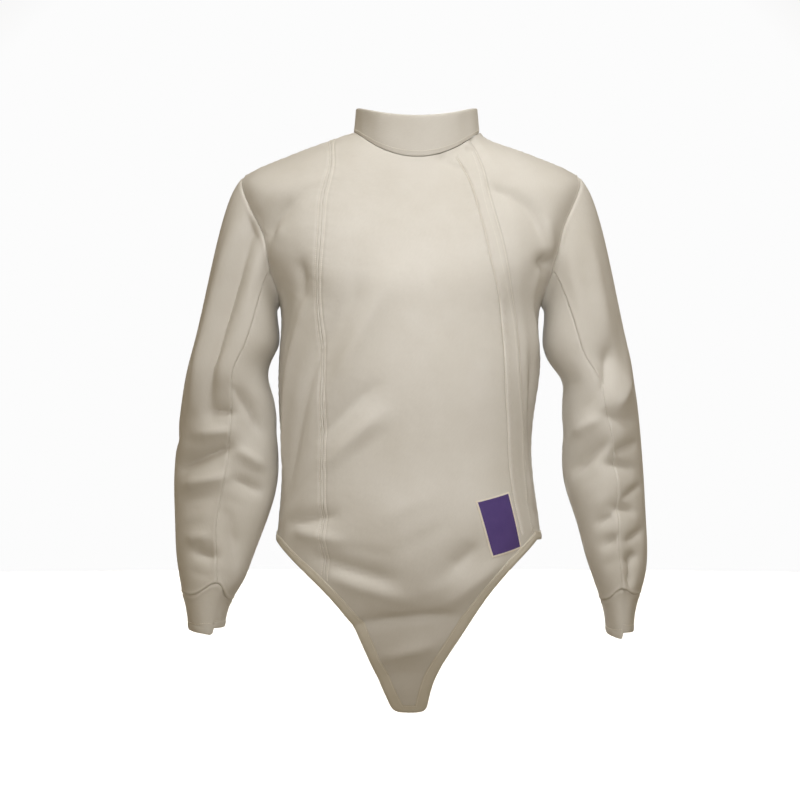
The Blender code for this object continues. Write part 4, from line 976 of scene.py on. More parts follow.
coil_width, coil_height = ZIP_COIL
coil_left, coil_right = 0.5 - coil_width / ZIP_WIDTH / 2, 0.5 + coil_width / ZIP_WIDTH / 2
tape_face, coil_face = ZIP_TAPE / 2, coil_height / 2 - 0.5 * MM
zip_near = 0.4 * MM / ZIP_WIDTH
zip_section = np.array(
    [
        (zip_near, tape_face), (coil_left, tape_face), (coil_left, coil_face), (coil_right, coil_face),
        (coil_right, tape_face), (1.0, tape_face), (1.0, -tape_face), (zip_near, -tape_face),
    ]
)
zip_starts, zip_ends = under_edge[1:-1, None], zip_far_edge[1:-1, None]
zip_flat = zip_starts + (zip_ends - zip_starts) * zip_section[None, :, :1]
zip_at = from_pattern(zip_flat)
zip_up = slope_normals(under_layer, *zip_at)
zip_stations = list(under_layer(*zip_at) + zip_up * zip_section[None, :, 1:])
zip_strip = sweep("zip_woven_tape", "zip", zip_stations, zip_tape)


# Back
# One piece from side seam to side seam, with a short straight hem that dips in the middle.
def on_back(line, turn=0.0):
    """A line of the front's pattern plane, moved to the back's, which lies about its middle."""
    angle, height = from_pattern(line)
    return to_pattern(angle + turn, height, math.pi)


WHOLE_TURN = 2 * math.pi
back_turns = np.linspace(90, 270, 181)
hem_dip = BACK_HEM_DIP * np.sin(np.radians(back_turns - 90)) ** 2
back_hem = evenly(to_pattern(np.radians(back_turns), SIDE_HEM - hem_dip, math.pi))
back_lines = {
    "side_left": on_back(lines["side_left"]),
    "side_right": on_back(lines["side_right"], WHOLE_TURN),
    "armhole_right": on_back(armhole_line(-1, False), WHOLE_TURN),
    "armhole_left": on_back(armhole_line(1, False)),
    "shoulder_right": on_back(
        np.concatenate([lines["shoulder_right"][:-1], lines["shoulder_neck"]]), WHOLE_TURN
    ),
    "shoulder_left": on_back(lines["shoulder_left"]),
    "neck": on_back(lines["neck_back"]),
}
back_outline = joined(
    back_hem,
    back_lines["side_right"],
    back_lines["armhole_right"],
    back_lines["shoulder_right"],
    back_lines["neck"],
    back_lines["shoulder_left"][::-1],
    back_lines["armhole_left"][::-1],
    back_lines["side_left"][::-1],
)
back_seams = [
    (back_lines[name], twin, FLAT_SEAM)
    for name in (
        "side_left", "side_right", "armhole_right", "armhole_left", "shoulder_right", "shoulder_left",
    )
]
cloth_panel("back_drill", "back", back_outline, body_cloth, back_seams, back_hem, (), math.pi)


# Hem binding
# Cotton tape folded over every raw hem edge, one length round the front and tail and one from the
# fly round the back, sewn through with a single row beside its inner edge.
LAY_GAP = 0.4 * MM
TAPE_WALL = 1.0 * MM
TAPE_SEWING = 1.8 * MM
TAPE_RELIEF = 0.35 * MM
TAPE_PUCKER = 0.22 * MM
TAPE_RIPPLE = (1.7 * MM, 2.1, 8.7 * MM)

# Cotton twill tape: fine ribs across it, drawn at about 1.2 mm, and a slightly cleaner white.
hem_tape, tree, shader = new_material(
    "cotton_binding_tape", {"Roughness": 0.58, "Sheen Weight": 0.1}
)
cut, place = cloth_coordinates(tree)
worn = noise(tree, place, 40.0, 3.0)
tree.links.new(tint_between(tree, worn, "#D6D0C0", "#E2DDD0"), shader.inputs["Base Color"])
ribs = woven_ribs(tree, cut, 1.2 * MM, "Y", 0.8, 1.0)
worn_bump = bump(tree, worn, 0.4, 1.0 * MM)
tree.links.new(bump(tree, ribs.outputs["Fac"], 0.2, 0.25 * MM, worn_bump), shader.inputs["Normal"])


def inner_edge(edge, first_way, last_way):
    """The binding's inner edge, with the points that a tight corner would cross drawn together."""
    rail = beside(edge, TAPE_WIDTH, first_way, last_way)
    clear = nearest_on_line(edge, rail)[0] > 0.97 * TAPE_WIDTH
    clear[[0, -1]] = True
    order = np.arange(len(rail))
    return np.stack([np.interp(order, order[clear], rail[clear, i]) for i in range(2)], axis=1)


def edge_tape(name, node, edge, rail, surface):
    """Binding folded over a hem: its legs lie on both faces of the panel, round the raw edge."""
    edge_at, rail_at = surface(*edge), surface(*rail)
    for line in (edge_at, rail_at):
        for end, inner in ((0, 1), (-1, -2)):
            run = line[inner] - line[end]
            line[end] += run * (1.5 * SEAM_INSET / np.linalg.norm(run))
    edge_up = slope_normals(surface, *edge)
    rail_up = slope_normals(surface, *rail)
    near, far = BODY_WALL / 2 + LAY_GAP, BODY_WALL / 2 + LAY_GAP + TAPE_WALL
    pucker = TAPE_PUCKER * ripple(lengths_along(edge_at), *TAPE_RIPPLE)
    stations = []
    sewing = []
    for at_edge, at_rail, up_edge, up_rail, wave in zip(edge_at, rail_at, edge_up, rail_up, pucker):
        across = (at_edge - at_rail) / np.linalg.norm(at_edge - at_rail)
        past = at_edge + across * LAY_GAP
        fold = at_edge + across * (LAY_GAP + TAPE_WALL)
        row = at_rail + across * TAPE_SEWING
        swell = at_rail + (at_edge - at_rail) * 0.62
        # Over the outer leg, round the fold, and back inside along both legs' inner faces
        stations.append(
            np.array(
                [
                    at_rail + up_rail * (far - TAPE_RELIEF),
                    at_rail + across * 0.7 * MM + up_rail * far,
                    row + up_rail * (far - TAPE_RELIEF),
                    row + across * 1.6 * MM + up_rail * (far + wave),
                    swell + up_edge * (far + TAPE_RELIEF + wave),
                    past + up_edge * far,
                    fold + up_edge * near * 0.6,
                    fold - up_edge * near * 0.6,
                    past - up_edge * far,
                    at_rail - up_rail * far,
                    at_rail - up_rail * near,
                    past - up_edge * near,
                    past + up_edge * near,
                    at_rail + up_rail * near,
                ]
            )
        )
        sewing.append(row + up_rail * (far - 0.2 * MM))
    piece = sweep(name, node, stations, hem_tape)
    return np.array(sewing)


front_rail = inner_edge(hem, way_of(lines["side_right"][::-1]), way_of(lines["fly"]))
side_rail = inner_edge(side_hem, way_of([corner, hem_start]), way_of(lines["side_left"][::-1]))
back_rail = inner_edge(
    back_hem, way_of(back_lines["side_left"][::-1]), way_of(back_lines["side_right"][::-1])
)
front_tape_sewing = edge_tape(
    "hem_binding_front", "hem_tape_front", from_pattern(hem), from_pattern(front_rail), body_cloth
)


def round_the_back(side_line, back_line):
    """Angles and ring heights along a line of the side's hem and then on along the back's."""
    both = zip(from_pattern(side_line), from_pattern(back_line, math.pi))
    return [np.concatenate([on_side[:-1], on_back_hem]) for on_side, on_back_hem in both]


back_edge, back_inner = round_the_back(side_hem, back_hem), round_the_back(side_rail, back_rail)
back_tape_sewing = edge_tape("hem_binding_back", "hem_tape_back", back_edge, back_inner, under_layer)


# Label
# A damask-woven label with a pale border, sewn flat on the front above the hem. Its printed
# matter is left off and its ground is plain.
LABEL_CORNER = (75, -488.5)
LABEL_SIZE = (49 * MM, 77 * MM)
LABEL_TURN = 14.0
LABEL_WALL = 0.8 * MM
LABEL_STEP = 3.5 * MM
LABEL_BORDER = 2.3 * MM
LABEL_EDGE = (0.3 * MM, 1.5 * MM)

# Damask weave in dyed polyester: fine cross ribs with a silky gloss, drawn at about 0.9 mm.
label_cloth, tree, shader = new_material(
    "woven_damask_label", {"Roughness": 0.45, "Sheen Weight": 0.15}
)
cut, place = cloth_coordinates(tree)
halves = add_node(
    tree, "ShaderNodeVectorMath", {1: (LABEL_SIZE[0] / 2, LABEL_SIZE[1] / 2, 0)}, {0: cut},
    operation="SUBTRACT",
)
folded_uv = add_node(tree, "ShaderNodeVectorMath", links={0: halves.outputs[0]}, operation="ABSOLUTE")
split = add_node(tree, "ShaderNodeSeparateXYZ", links={0: folded_uv.outputs[0]})
past = {}
for i, axis in enumerate("XY"):
    inner_half = LABEL_SIZE[i] / 2 - LABEL_BORDER
    beyond = add_node(
        tree, "ShaderNodeMath", {1: inner_half}, {0: split.outputs[axis]}, operation="GREATER_THAN"
    )
    past[i] = beyond.outputs[0]
on_border = add_node(tree, "ShaderNodeMath", links=past, operation="MAXIMUM")
purple = tint_between(tree, noise(tree, place, 55.0, 3.0), "#4E3A80", "#634E96")
weave = woven_ribs(tree, cut, 0.9 * MM, "Y", 0.4)
ribbed = shaded_by(tree, 0.18, purple, weave.outputs["Color"])
edged = add_node(
    tree, "ShaderNodeMix", links={0: on_border.outputs[0], 6: ribbed}, data_type="RGBA"
)
edged.inputs[7].default_value = linear("#EDE6D8")
tree.links.new(edged.outputs[2], shader.inputs["Base Color"])
tree.links.new(bump(tree, weave.outputs["Fac"], 0.3, 0.2 * MM), shader.inputs["Normal"])


def grid_faces(rows, columns):
    """Faces of a grid, facing the way that its columns and then its rows turn."""
    faces = []
    for j in range(rows - 1):
        for i in range(columns - 1):
            a = j * columns + i
            faces.append((a, a + 1, a + columns + 1, a + columns))
    return faces


def grid_wall(name, node, outer, inner, across, down, cloth):
    """A wall between two grids of points, with the distances across and down it as its cut."""
    faces = grid_faces(*outer.shape[:2])
    cut = np.stack([across, down], axis=-1).reshape(-1, 2)
    return wall(name, node, outer.reshape(-1, 3), inner.reshape(-1, 3), faces, cut, cloth)


label_top = to_pattern(*front_to_ring(*(np.array(v * MM) for v in LABEL_CORNER)))
label_along = np.array([math.cos(math.radians(LABEL_TURN)), math.sin(math.radians(LABEL_TURN))])
label_up = np.array([-label_along[1], label_along[0]])


def label_points(u, v, lift):
    """Points over the label at distances from its lower left corner, lifted off the front."""
    flat = label_top - label_up * LABEL_SIZE[1] + u[..., None] * label_along + v[..., None] * label_up
    angle, height = from_pattern(flat)
    return body_cloth(angle, height) + slope_normals(body_cloth, angle, height) * lift[..., None]


label_columns = round(LABEL_SIZE[0] / LABEL_STEP) + 1
label_rows = round(LABEL_SIZE[1] / LABEL_STEP) + 1
u, v = np.meshgrid(
    np.linspace(0, LABEL_SIZE[0], label_columns), np.linspace(0, LABEL_SIZE[1], label_rows)
)
rim = np.minimum(np.minimum(u, LABEL_SIZE[0] - u), np.minimum(v, LABEL_SIZE[1] - v))
low = BODY_WALL / 2 + LAY_GAP
label_face = label_points(u, v, low + LABEL_WALL - ridge(rim, *LABEL_EDGE))
label_back = label_points(u, v, np.full_like(u, low))
label_piece = grid_wall(
    "label_woven", "label", label_face, label_back, u, v, label_cloth
)


# Stand collar
# A stiff band of three layers round the neck. Its ends lap at the wearer's left, the outer end
# towards the front, and its top edge is turned in.
COLLAR_WALL = 3.0 * MM
COLLAR_START = 46.0
COLLAR_END = 438.0
COLLAR_SINK = 3.8 * MM
COLLAR_SEAT = 1.4 * MM
COLLAR_COLUMNS = 197
COLLAR_TOP = {"front": 20 * MM, "side": 36 * MM, "back": 30 * MM}
COLLAR_LEAN = {"front": 2 * MM, "side": 3 * MM}
# Shares of the height from the seam up, and how full the band is there
COLLAR_PROFILE = (
    (0.0, 0.7), (0.04, 1.0), (0.12, 1.06), (0.3, 1.0), (0.5, 1.0), (0.7, 1.0), (0.86, 0.96),
    (0.94, 0.98), (0.98, 0.72), (1.0, 0.3),
)
# Soft upright dents: angle, half width in degrees and depth in millimetres
COLLAR_DENTS = (
    (-51, 8, 1.6), (-30, 14, -0.8), (49, 7, 1.5), (18, 16, 0.6), (120, 10, 1.4), (165, 14, -0.8),
    (214, 10, 1.5), (262, 9, 1.0), (292, 8, 0.9),
)


def collar_frame(turns):
    """Base points, outward directions, top heights and leans of the collar at angles in degrees."""
    angle = np.radians(turns)
    base = body_form(angle, np.full_like(angle, NECK_RING))
    sine, cosine = np.sin(angle), np.cos(angle)
    out = np.stack([sine, -cosine, 0 * sine], axis=-1)
    ends = np.where(cosine > 0, COLLAR_TOP["front"], COLLAR_TOP["back"])
    top = COLLAR_TOP["side"] * sine**2 + ends * cosine**2
    lean = COLLAR_LEAN["side"] * sine**2 + COLLAR_LEAN["front"] * cosine**2
    lap = COLLAR_END - 360
    sink = COLLAR_SINK * (1 - smooth_step((turns - lap) / (lap - COLLAR_START)))
    return base, out, top, sink, lean


def collar_point(turns, share, side):
    """Collar points at a share of the height, a distance out from the band's middle."""
    base, out, top, sink, lean = collar_frame(turns)
    dent = np.zeros_like(turns)
    for at, width, depth in COLLAR_DENTS:
        dent += ridge((turns - at + 180) % 360 - 180, depth * MM, width)
    dent *= math.sin(math.pi * min(1.0, 0.25 + 0.75 * share)) if share < 1 else 0.0
    point = base + out * (side - sink - lean * share - dent)[:, None]
    point[:, 2] = base[:, 2] + COLLAR_SEAT + (top - base[:, 2] - COLLAR_SEAT) * share
    return point


collar_turns = np.linspace(COLLAR_START, COLLAR_END, COLLAR_COLUMNS)
half = COLLAR_WALL / 2
rings = [collar_point(collar_turns, share, half * full) for share, full in COLLAR_PROFILE]
rings += [collar_point(collar_turns, share, -half * full) for share, full in COLLAR_PROFILE[::-1]]
collar_stations = list(np.stack(rings, axis=1))
collar_band = sweep("collar_drill", "collar", collar_stations, drill_cloth)
collar_length = float(lengths_along(collar_point(collar_turns, 0.5, 0.0))[-1])


# Sleeves
# Each sleeve is cut in two, an under piece along the inside of the arm and a fuller upper piece,
# set into the armhole and filled out, with soft folds that the hanging arm makes.
SLEEVE_WALL = 1.8 * MM
# Marks of the sewing: a height, a width and, for some, how far in from the edge they stand.
# The long roll has no height here, because each piece gives its own.
LONG_NIP = (-0.35 * MM, 0.9 * MM)
LONG_ROLL = (2.2 * MM, 3.2 * MM)
CAP_NIP = (-0.3 * MM, 1.2 * MM)
CAP_ROLL = (0.9 * MM, 2.5 * MM, 4 * MM)
WRIST_ROLL = (0.9 * MM, 1.8 * MM, 2.4 * MM)
WRIST_NIP = (-0.2 * MM, 1.0 * MM)
SLEEVE_PUCKER = 0.3 * MM
SLEEVE_PUCKER_REACH = 8 * MM
SLEEVE_RIPPLE = (2.3 * MM, 1.8, 11 * MM)
SLEEVE_STEP = 4.3 * MM
CAP_ROWS = 26
CAP_SEAM_ROWS = (0.0, 0.008, 0.02, 0.04, 0.07)
WRIST_SEAM_ROWS = (1.981, 1.986, 1.99, 1.994, 1.997, 2.0)
UNDER_COLUMNS = 26
UPPER_COLUMNS = 46
CAP_OUT = (0.93, 0.60, 0.75)
CAP_DOWN = (0.36, 0.70, 0.66)
CAP_BULGE = 0.45
CAP_REACH = (85, 70, 45)
SLEEVE_TOP = -289 * MM
CUFF_TOP = -613 * MM
CUFF_INNER_DIP = 9 * MM
CUFF_PEAK = {"right": 20 * MM, "left": 12 * MM}
CUFF_PEAK_TURN = 26.0
SIDES = {"right": -1, "left": 1}
GIRTH_COLUMNS = ("height", "girth")
SLEEVE_GIRTHS = (
    (-289, 405), (-356, 392), (-410, 388), (-464, 385), (-518, 350), (-572, 305),
    (-599, 272), (-614, 248), (-630, 226), (-653, 212), (-680, 208),
)
HANG_COLUMNS = ("height", "centre", "half_width", "forward", "seam_angle")
RIGHT_HANG = (
    (-289, -246, 56, 0, 106), (-316, -255, 54, 0, 103), (-356, -255, 61, 0, 99),
    (-410, -256, 67, -3, 96), (-464, -258, 69, -3, 92), (-518, -264, 61, 6, 88),
    (-572, -272, 49, 18, 95), (-599, -275, 41, 25, 101), (-614, -278, 35, 28, 103),
    (-630, -280, 29, 31, 103), (-653, -281, 24, 35, 103), (-680, -281, 23, 39, 103),
)
LEFT_HANG = (
    (-289, 228, 56, 0, 101), (-302, 232, 55, 0, 99), (-329, 243, 48, 0, 94), (-356, 246, 49, 0, 90),
    (-410, 249, 52, -3, 81), (-464, 252, 53, -3, 77), (-518, 261, 46, 6, 84), (-572, 268, 39, 18, 92),
    (-599, 270, 32, 25, 92), (-614, 270, 27, 28, 92), (-630, 270, 22, 31, 92), (-653, 270, 18, 35, 92),
    (-680, 270, 17, 39, 92),
)
SLEEVE_RADIUS = 60
FOLDS_FROM_CAP = 0.12
FOLDS_FROM_CUFF = 0.05
# Folds behind the arm, the same on both sleeves
BEHIND_FOLDS = (
    (200, -330, 262, -350, 15, -5), (190, -400, 268, -440, 14, -6), (212, -430, 275, -470, 13, 4),
    (205, -470, 262, -505, 13, -5), (240, -150, 250, -300, 18, -5),
)
RIGHT_FOLDS = (
    (60, -104, 70, -375, 16, -9), (40, -130, 46, -360, 18, 5), (72, -372, 100, -374, 10, -5),
    (60, -402, 96, -396, 13, 4), (30, -446, 98, -420, 13, -8), (45, -470, 92, -458, 13, 5),
    (108, -345, 138, -404, 13, -6), (104, -420, 135, -445, 12, 4), (104, -462, 140, -480, 12, -5),
    (60, -556, 96, -564, 11, -6), (50, -540, 80, -538, 11, 3), (94, -498, 130, -575, 13, -4),
    *BEHIND_FOLDS, (330, -400, 372, -410, 13, -3),
)
LEFT_FOLDS = (
    (72, -92, 78, -150, 14, -5), (45, -140, 60, -270, 18, 4), (62, -290, 92, -342, 16, -6),
    (38, -330, 72, -368, 15, 4), (38, -386, 92, -376, 13, -4), (34, -414, 78, -425, 11, -5),
    (42, -447, 92, -440, 14, -6.5), (30, -470, 68, -484, 10, -4), (46, -504, 94, -498, 14, -6),
    (32, -529, 76, -543, 11, -5), (52, -562, 80, -568, 11, -6), (92, -414, 138, -452, 13, -7),
    (100, -380, 136, -400, 13, 4), (92, -508, 120, -520, 10, -5), (92, -538, 118, -548, 10, -5),
    (66, -570, 74, -606, 11, -5), *BEHIND_FOLDS,
)
# Small creases, too fine for the solids
BEHIND_CREASES = (
    (190, -370, 230, -384, 8, -1.6), (210, -540, 250, -556, 8, -1.8), (280, -240, 296, -330, 9, -1.5),
    (300, -410, 344, -424, 9, -1.8), (290, -470, 340, -480, 9, -1.6),
)
RIGHT_CREASES = (
    (48, -200, 60, -262, 8, -1.6), (70, -240, 84, -330, 7, 1.3), (30, -290, 44, -340, 8, -1.4),
    (76, -386, 96, -392, 6, -1.8), (40, -410, 70, -414, 7, -1.6), (104, -384, 124, -408, 7, -1.6),
    (60, -436, 92, -432, 5, 1.6), (110, -440, 136, -456, 6, -1.5), (36, -486, 84, -484, 8, -1.8),
    (96, -486, 118, -500, 6, -1.5), (40, -516, 78, -508, 8, 1.4), (100, -530, 128, -548, 7, -1.6),
    (56, -584, 92, -590, 6, -1.6), (98, -586, 130, -594, 6, -1.4), *BEHIND_CREASES,
    (200, -580, 244, -588, 7, -1.5), (300, -530, 350, -540, 8, -1.5),
)
LEFT_CREASES = (
    (60, -170, 70, -230, 8, -1.6), (84, -200, 92, -280, 7, 1.3), (30, -250, 44, -310, 8, -1.4),
    (70, -320, 88, -352, 6, -1.6), (30, -400, 60, -404, 6, -1.5), (34, -428, 66, -432, 6, -1.5),
    (30, -457, 64, -460, 6, -1.6), (30, -487, 60, -490, 6, -1.5), (34, -518, 64, -521, 6, -1.6),
    (40, -548, 70, -552, 6, -1.4), (100, -350, 128, -372, 7, -1.6), (100, -450, 126, -470, 7, -1.6),
    (96, -484, 116, -496, 6, 1.4), (92, -566, 122, -576, 6, -1.6), (60, -588, 90, -592, 5, -1.5),
    *BEHIND_CREASES,
)


def around(values, share):
    """Values at the top, front and underarm, blended smoothly round the armhole."""
    top, front, under = values
    turn = 2 * math.pi * share
    steady = (top + under + 2 * front) / 4
    sway = (top - under) / 2 * np.cos(turn)
    return steady + sway + (top + under - 2 * front) / 4 * np.cos(2 * turn)


def grid_normals(points):
    """Unit normals of a grid of points, across its columns and then down its rows."""
    down = np.gradient(points, axis=0)
    across = np.gradient(points, axis=1)
    return unit(np.cross(across, down))


def round_normals(points):
    """Unit normals of a grid whose last column lies on its first."""
    wrapped = np.concatenate([points[:, -2:-1], points, points[:, 1:2]], axis=1)
    return grid_normals(wrapped)[:, 1:-1]


class Sleeve:
    """One sleeve: its cap from the armhole seam, then rings down to the wrist."""

    def __init__(self, side_name, hang, folds):
        self.side = SIDES[side_name]
        self.cuff_peak = CUFF_PEAK[side_name]
        self.begun = None
        self.folds = folds
        self.girth = columns_of(GIRTH_COLUMNS, SLEEVE_GIRTHS, "height", {})["girth"]
        self.hang = columns_of(HANG_COLUMNS, hang, "height", {"seam_angle": 1.0})

    def ring(self, angle, height):
        """A point of the sleeve's rings; the angle is in degrees from the outer side."""
        half_width = self.hang["half_width"](height)
        mean_square = 2 * (self.girth(height) / (2 * math.pi)) ** 2
        half_depth = np.sqrt(mean_square - half_width**2)
        turn = np.radians(angle)
        x = self.hang["centre"](height) + self.side * half_width * np.cos(turn)
        y = -self.hang["forward"](height) - half_depth * np.sin(turn)
        return np.stack([x, y, height + 0 * turn], axis=-1)

    def cuff_top(self, angle):
        """Height of the seam that joins the cuff: highest at the front, lowest on the inside."""
        low = CUFF_TOP - CUFF_INNER_DIP * (1 - np.cos(np.radians(angle))) / 2
        from_seam = (angle - self.hang["seam_angle"](CUFF_TOP) + 180) % 360 - 180
        return low + ridge(from_seam, self.cuff_peak, CUFF_PEAK_TURN)

    def start(self, share):
        """Where the sleeve begins at the armhole, and the way it leaves, kept once worked out."""
        if self.begun is None:
            self.begun = self.leaving(share)
        return self.begun

    def on_seam(self, share):
        """The angle in radians and the ring height of the armhole seam on this side."""
        angle, height = armhole_at(share)
        return self.side * np.radians(angle), height

    def leaving(self, share):
        """Begins clear of the panel's wall: further away where the sleeve leaves along it."""
        seam = body_cloth(*self.on_seam(share))
        up = slope_normals(body_cloth, *self.on_seam(share))
        step = 1e-3
        ahead, behind = self.on_seam(share + step), self.on_seam(share - step)
        along = unit(body_cloth(*ahead) - body_cloth(*behind))
        out_of_panel = np.cross(up, along) * self.side
        leave = np.stack(
            [
                self.side * around(CAP_OUT, share),
                -CAP_BULGE * np.sin(2 * math.pi * share),
                -around(CAP_DOWN, share),
            ],
            axis=-1,
        )
        leave = unit(leave)
        cosine = np.sum(leave * out_of_panel, axis=-1)
        sine = np.sqrt(np.maximum(1 - cosine**2, 1e-4))
        clear = np.where(cosine > 0, 0.4 + 1.3 * sine, (1.8 + np.abs(cosine)) / sine)
        return seam + leave * (clear * MM)[..., None], leave

    def plain(self, share, angle, drop):
        """The cap for drops from 0 to 1, then the rings: drop 2 is the cuff's top."""
        begin, leave = self.start(share)
        low = self.ring(angle, np.full_like(angle, SLEEVE_TOP))
        step = 2 * MM
        fall = (low - self.ring(angle, np.full_like(angle, SLEEVE_TOP - step))) / step
        length = np.linalg.norm(low - begin, axis=-1, keepdims=True)
        reach = around(CAP_REACH, share)[..., None] * MM
        t = np.clip(drop, 0, 1)[..., None]
        # A Hermite curve from the armhole to the top ring
        curve = (2 * t**3 - 3 * t**2 + 1) * begin + (t**3 - 2 * t**2 + t) * leave * reach
        curve = curve + (3 * t**2 - 2 * t**3) * low - (t**3 - t**2) * fall * length
        height = SLEEVE_TOP + np.clip(drop - 1, 0, 1) * (self.cuff_top(angle) - SLEEVE_TOP)
        return np.where(t < 1, curve, self.ring(angle, height))

    def turned(self, turns, drop):
        """Ring angles of the columns at a drop: a turn of 0 is the front seam, 1 the back seam."""
        height = SLEEVE_TOP + max(0.0, drop - 1) * (CUFF_TOP - SLEEVE_TOP)
        front = self.hang["seam_angle"](height)
        back = 360 - front
        under = front + (back - front) * turns
        upper = back + (front + 360 - back) * (turns - 1)
        return np.where(turns < 1, under, upper)

    def grid(self, shares, turns, rows):
        """The plain sleeve, the folded one and its normals, on rows and closed columns."""
        plain, angles = [], []
        for drop in rows:
            angles.append(self.turned(turns, drop))
            plain.append(self.plain(shares, angles[-1], np.full(len(shares), drop)))
        plain, angles, drops = np.stack(plain), np.stack(angles), np.asarray(rows)[:, None]
        moved = fold_height(angles, plain[..., 2], self.folds, SLEEVE_RADIUS)
        moved = moved * np.clip(drops / FOLDS_FROM_CAP, 0, 1)
        moved = moved * np.clip((2 - drops) / FOLDS_FROM_CUFF, 0, 1)
        folded = plain + round_normals(plain) * self.side * moved[..., None]
        return plain, folded, round_normals(folded) * self.side


def seam_spaced(count):
    """Shares from 0 to 1 that lie closer beside both ends, where the seams are."""
    close = np.array([0.0, 0.006, 0.014, 0.024, 0.038])
    return np.concatenate([close, np.linspace(0.06, 0.94, count), 1 - close[::-1]])


def sleeve_relief(across, down, fuller):
    """Seam relief on a sleeve piece: nips on its two long seams, a rolled edge beside them and
    beside the armhole, and two ridges where the cuff is set on."""
    width = across[:, -1:]
    to_seam = np.minimum(across, width - across)
    to_cuff = down[-1:] - down
    lift = ridge(to_seam, *LONG_NIP) + ridge(to_seam, fuller, *LONG_ROLL)
    lift += ridge(down, *CAP_NIP)
    lift += ridge(down, *CAP_ROLL)
    lift += ridge(to_cuff, *WRIST_ROLL)
    lift += ridge(to_cuff, *WRIST_NIP)
    waves = ripple(down, *SLEEVE_RIPPLE)
    return lift + SLEEVE_PUCKER * waves * ridge(to_seam, 1, SLEEVE_PUCKER_REACH)


def grid_lengths(points, axis):
    """Distance along a grid's rows or columns from its first points."""
    steps = np.linalg.norm(np.diff(points, axis=axis), axis=2)
    start = np.zeros_like(np.take(steps, [0], axis=axis))
    return np.concatenate([start, np.cumsum(steps, axis=axis)], axis=axis)


def sleeve_pieces(side_name, sleeve):
    """The under sleeve and the upper sleeve, split at the front and back seams."""
    lower_rows = round((SLEEVE_TOP - CUFF_TOP) / SLEEVE_STEP)
    cap, lower = np.linspace(0.1, 1, CAP_ROWS)[:-1], np.linspace(1, 1.975, lower_rows)
    rows = np.concatenate([CAP_SEAM_ROWS, cap, lower, WRIST_SEAM_ROWS])
    under_turns, upper_turns = seam_spaced(UNDER_COLUMNS), 1 + seam_spaced(UPPER_COLUMNS)
    turns = np.concatenate([under_turns, upper_turns[1:]])
    under_length = SLEEVE_SEAM_TURN + (1 - 2 * SLEEVE_SEAM_TURN) * under_turns
    upper_length = 1 - SLEEVE_SEAM_TURN + 2 * SLEEVE_SEAM_TURN * (upper_turns[1:] - 1)
    shares = armhole_share(np.concatenate([under_length, upper_length]))
    plain, middles, normals = sleeve.grid(shares, turns, rows)
    split = len(under_turns)
    for kind, columns, fuller in (
        ("under_sleeve", slice(0, split), 0.0),
        ("upper_sleeve", slice(split - 1, None), 1.0 * MM),
    ):
        placed = middles[:, columns].copy()
        for edge, inner in ((0, 1), (-1, -2)):
            placed[:, edge] += unit(placed[:, inner] - placed[:, edge]) * SEAM_INSET
        up = normals[:, columns]
        across, down = grid_lengths(plain[:, columns], 1), grid_lengths(plain[:, columns], 0)
        relief = sleeve_relief(across, down, fuller)
        outer = placed + up * (SLEEVE_WALL / 2 + relief)[..., None]
        inner_face = placed - up * SLEEVE_WALL / 2
        name = f"{kind}_{side_name}"
        piece = grid_wall(
            f"{name}_drill", name, outer, inner_face, across, down, drill_cloth
        )


right_sleeve = Sleeve("right", RIGHT_HANG, (*with_cores(RIGHT_FOLDS), *RIGHT_CREASES))
left_sleeve = Sleeve("left", LEFT_HANG, (*with_cores(LEFT_FOLDS), *LEFT_CREASES))
sleeve_pieces("right", right_sleeve)
sleeve_pieces("left", left_sleeve)


# Cuffs
# A straight band round each wrist, set on with a ridged seam. Its outer end laps over the inner
# one and hangs a little lower; the hem is turned up and topstitched.
CUFF_LAP = 36.0
CUFF_GAP = 0.2 * MM
CUFF_SINK = 2.4 * MM
CUFF_WALL = 1.8 * MM
CUFF_HEM = {"right": -658 * MM, "left": -663 * MM}
CUFF_HEM_STEP = 9 * MM
CUFF_CORNER = 8 * MM
CUFF_ROUND = 230 * MM
CUFF_SEWING = 9 * MM
CUFF_COLUMNS = 111
CUFF_PLAIN_COLUMN = 40  # well away from both ends, where the row of sewing is measured
CUFF_SHARES = (
    0, 0.02, 0.05, 0.08, 0.12, *np.linspace(0.17, 0.74, 10),
    0.78, 0.81, 0.84, 0.88, 0.92, 0.96, 0.985, 1.0,
)
# Marks of the sewing, as on the sleeves
CUFF_NIP = (-0.2 * MM, 1.0 * MM)
CUFF_ROLL = (0.6 * MM, 2.0 * MM, 4.6 * MM)
CUFF_DIP = (-0.5 * MM, 1.1 * MM, CUFF_SEWING)
CUFF_EDGE = (-0.6 * MM, 0.9 * MM)
CUFF_TURNING = 0.35 * MM
CUFF_PUCKER = 0.2 * MM
CUFF_PUCKER_REACH = 6 * MM
CUFF_RIPPLE = (2.2 * MM, 1.6, 9 * MM)


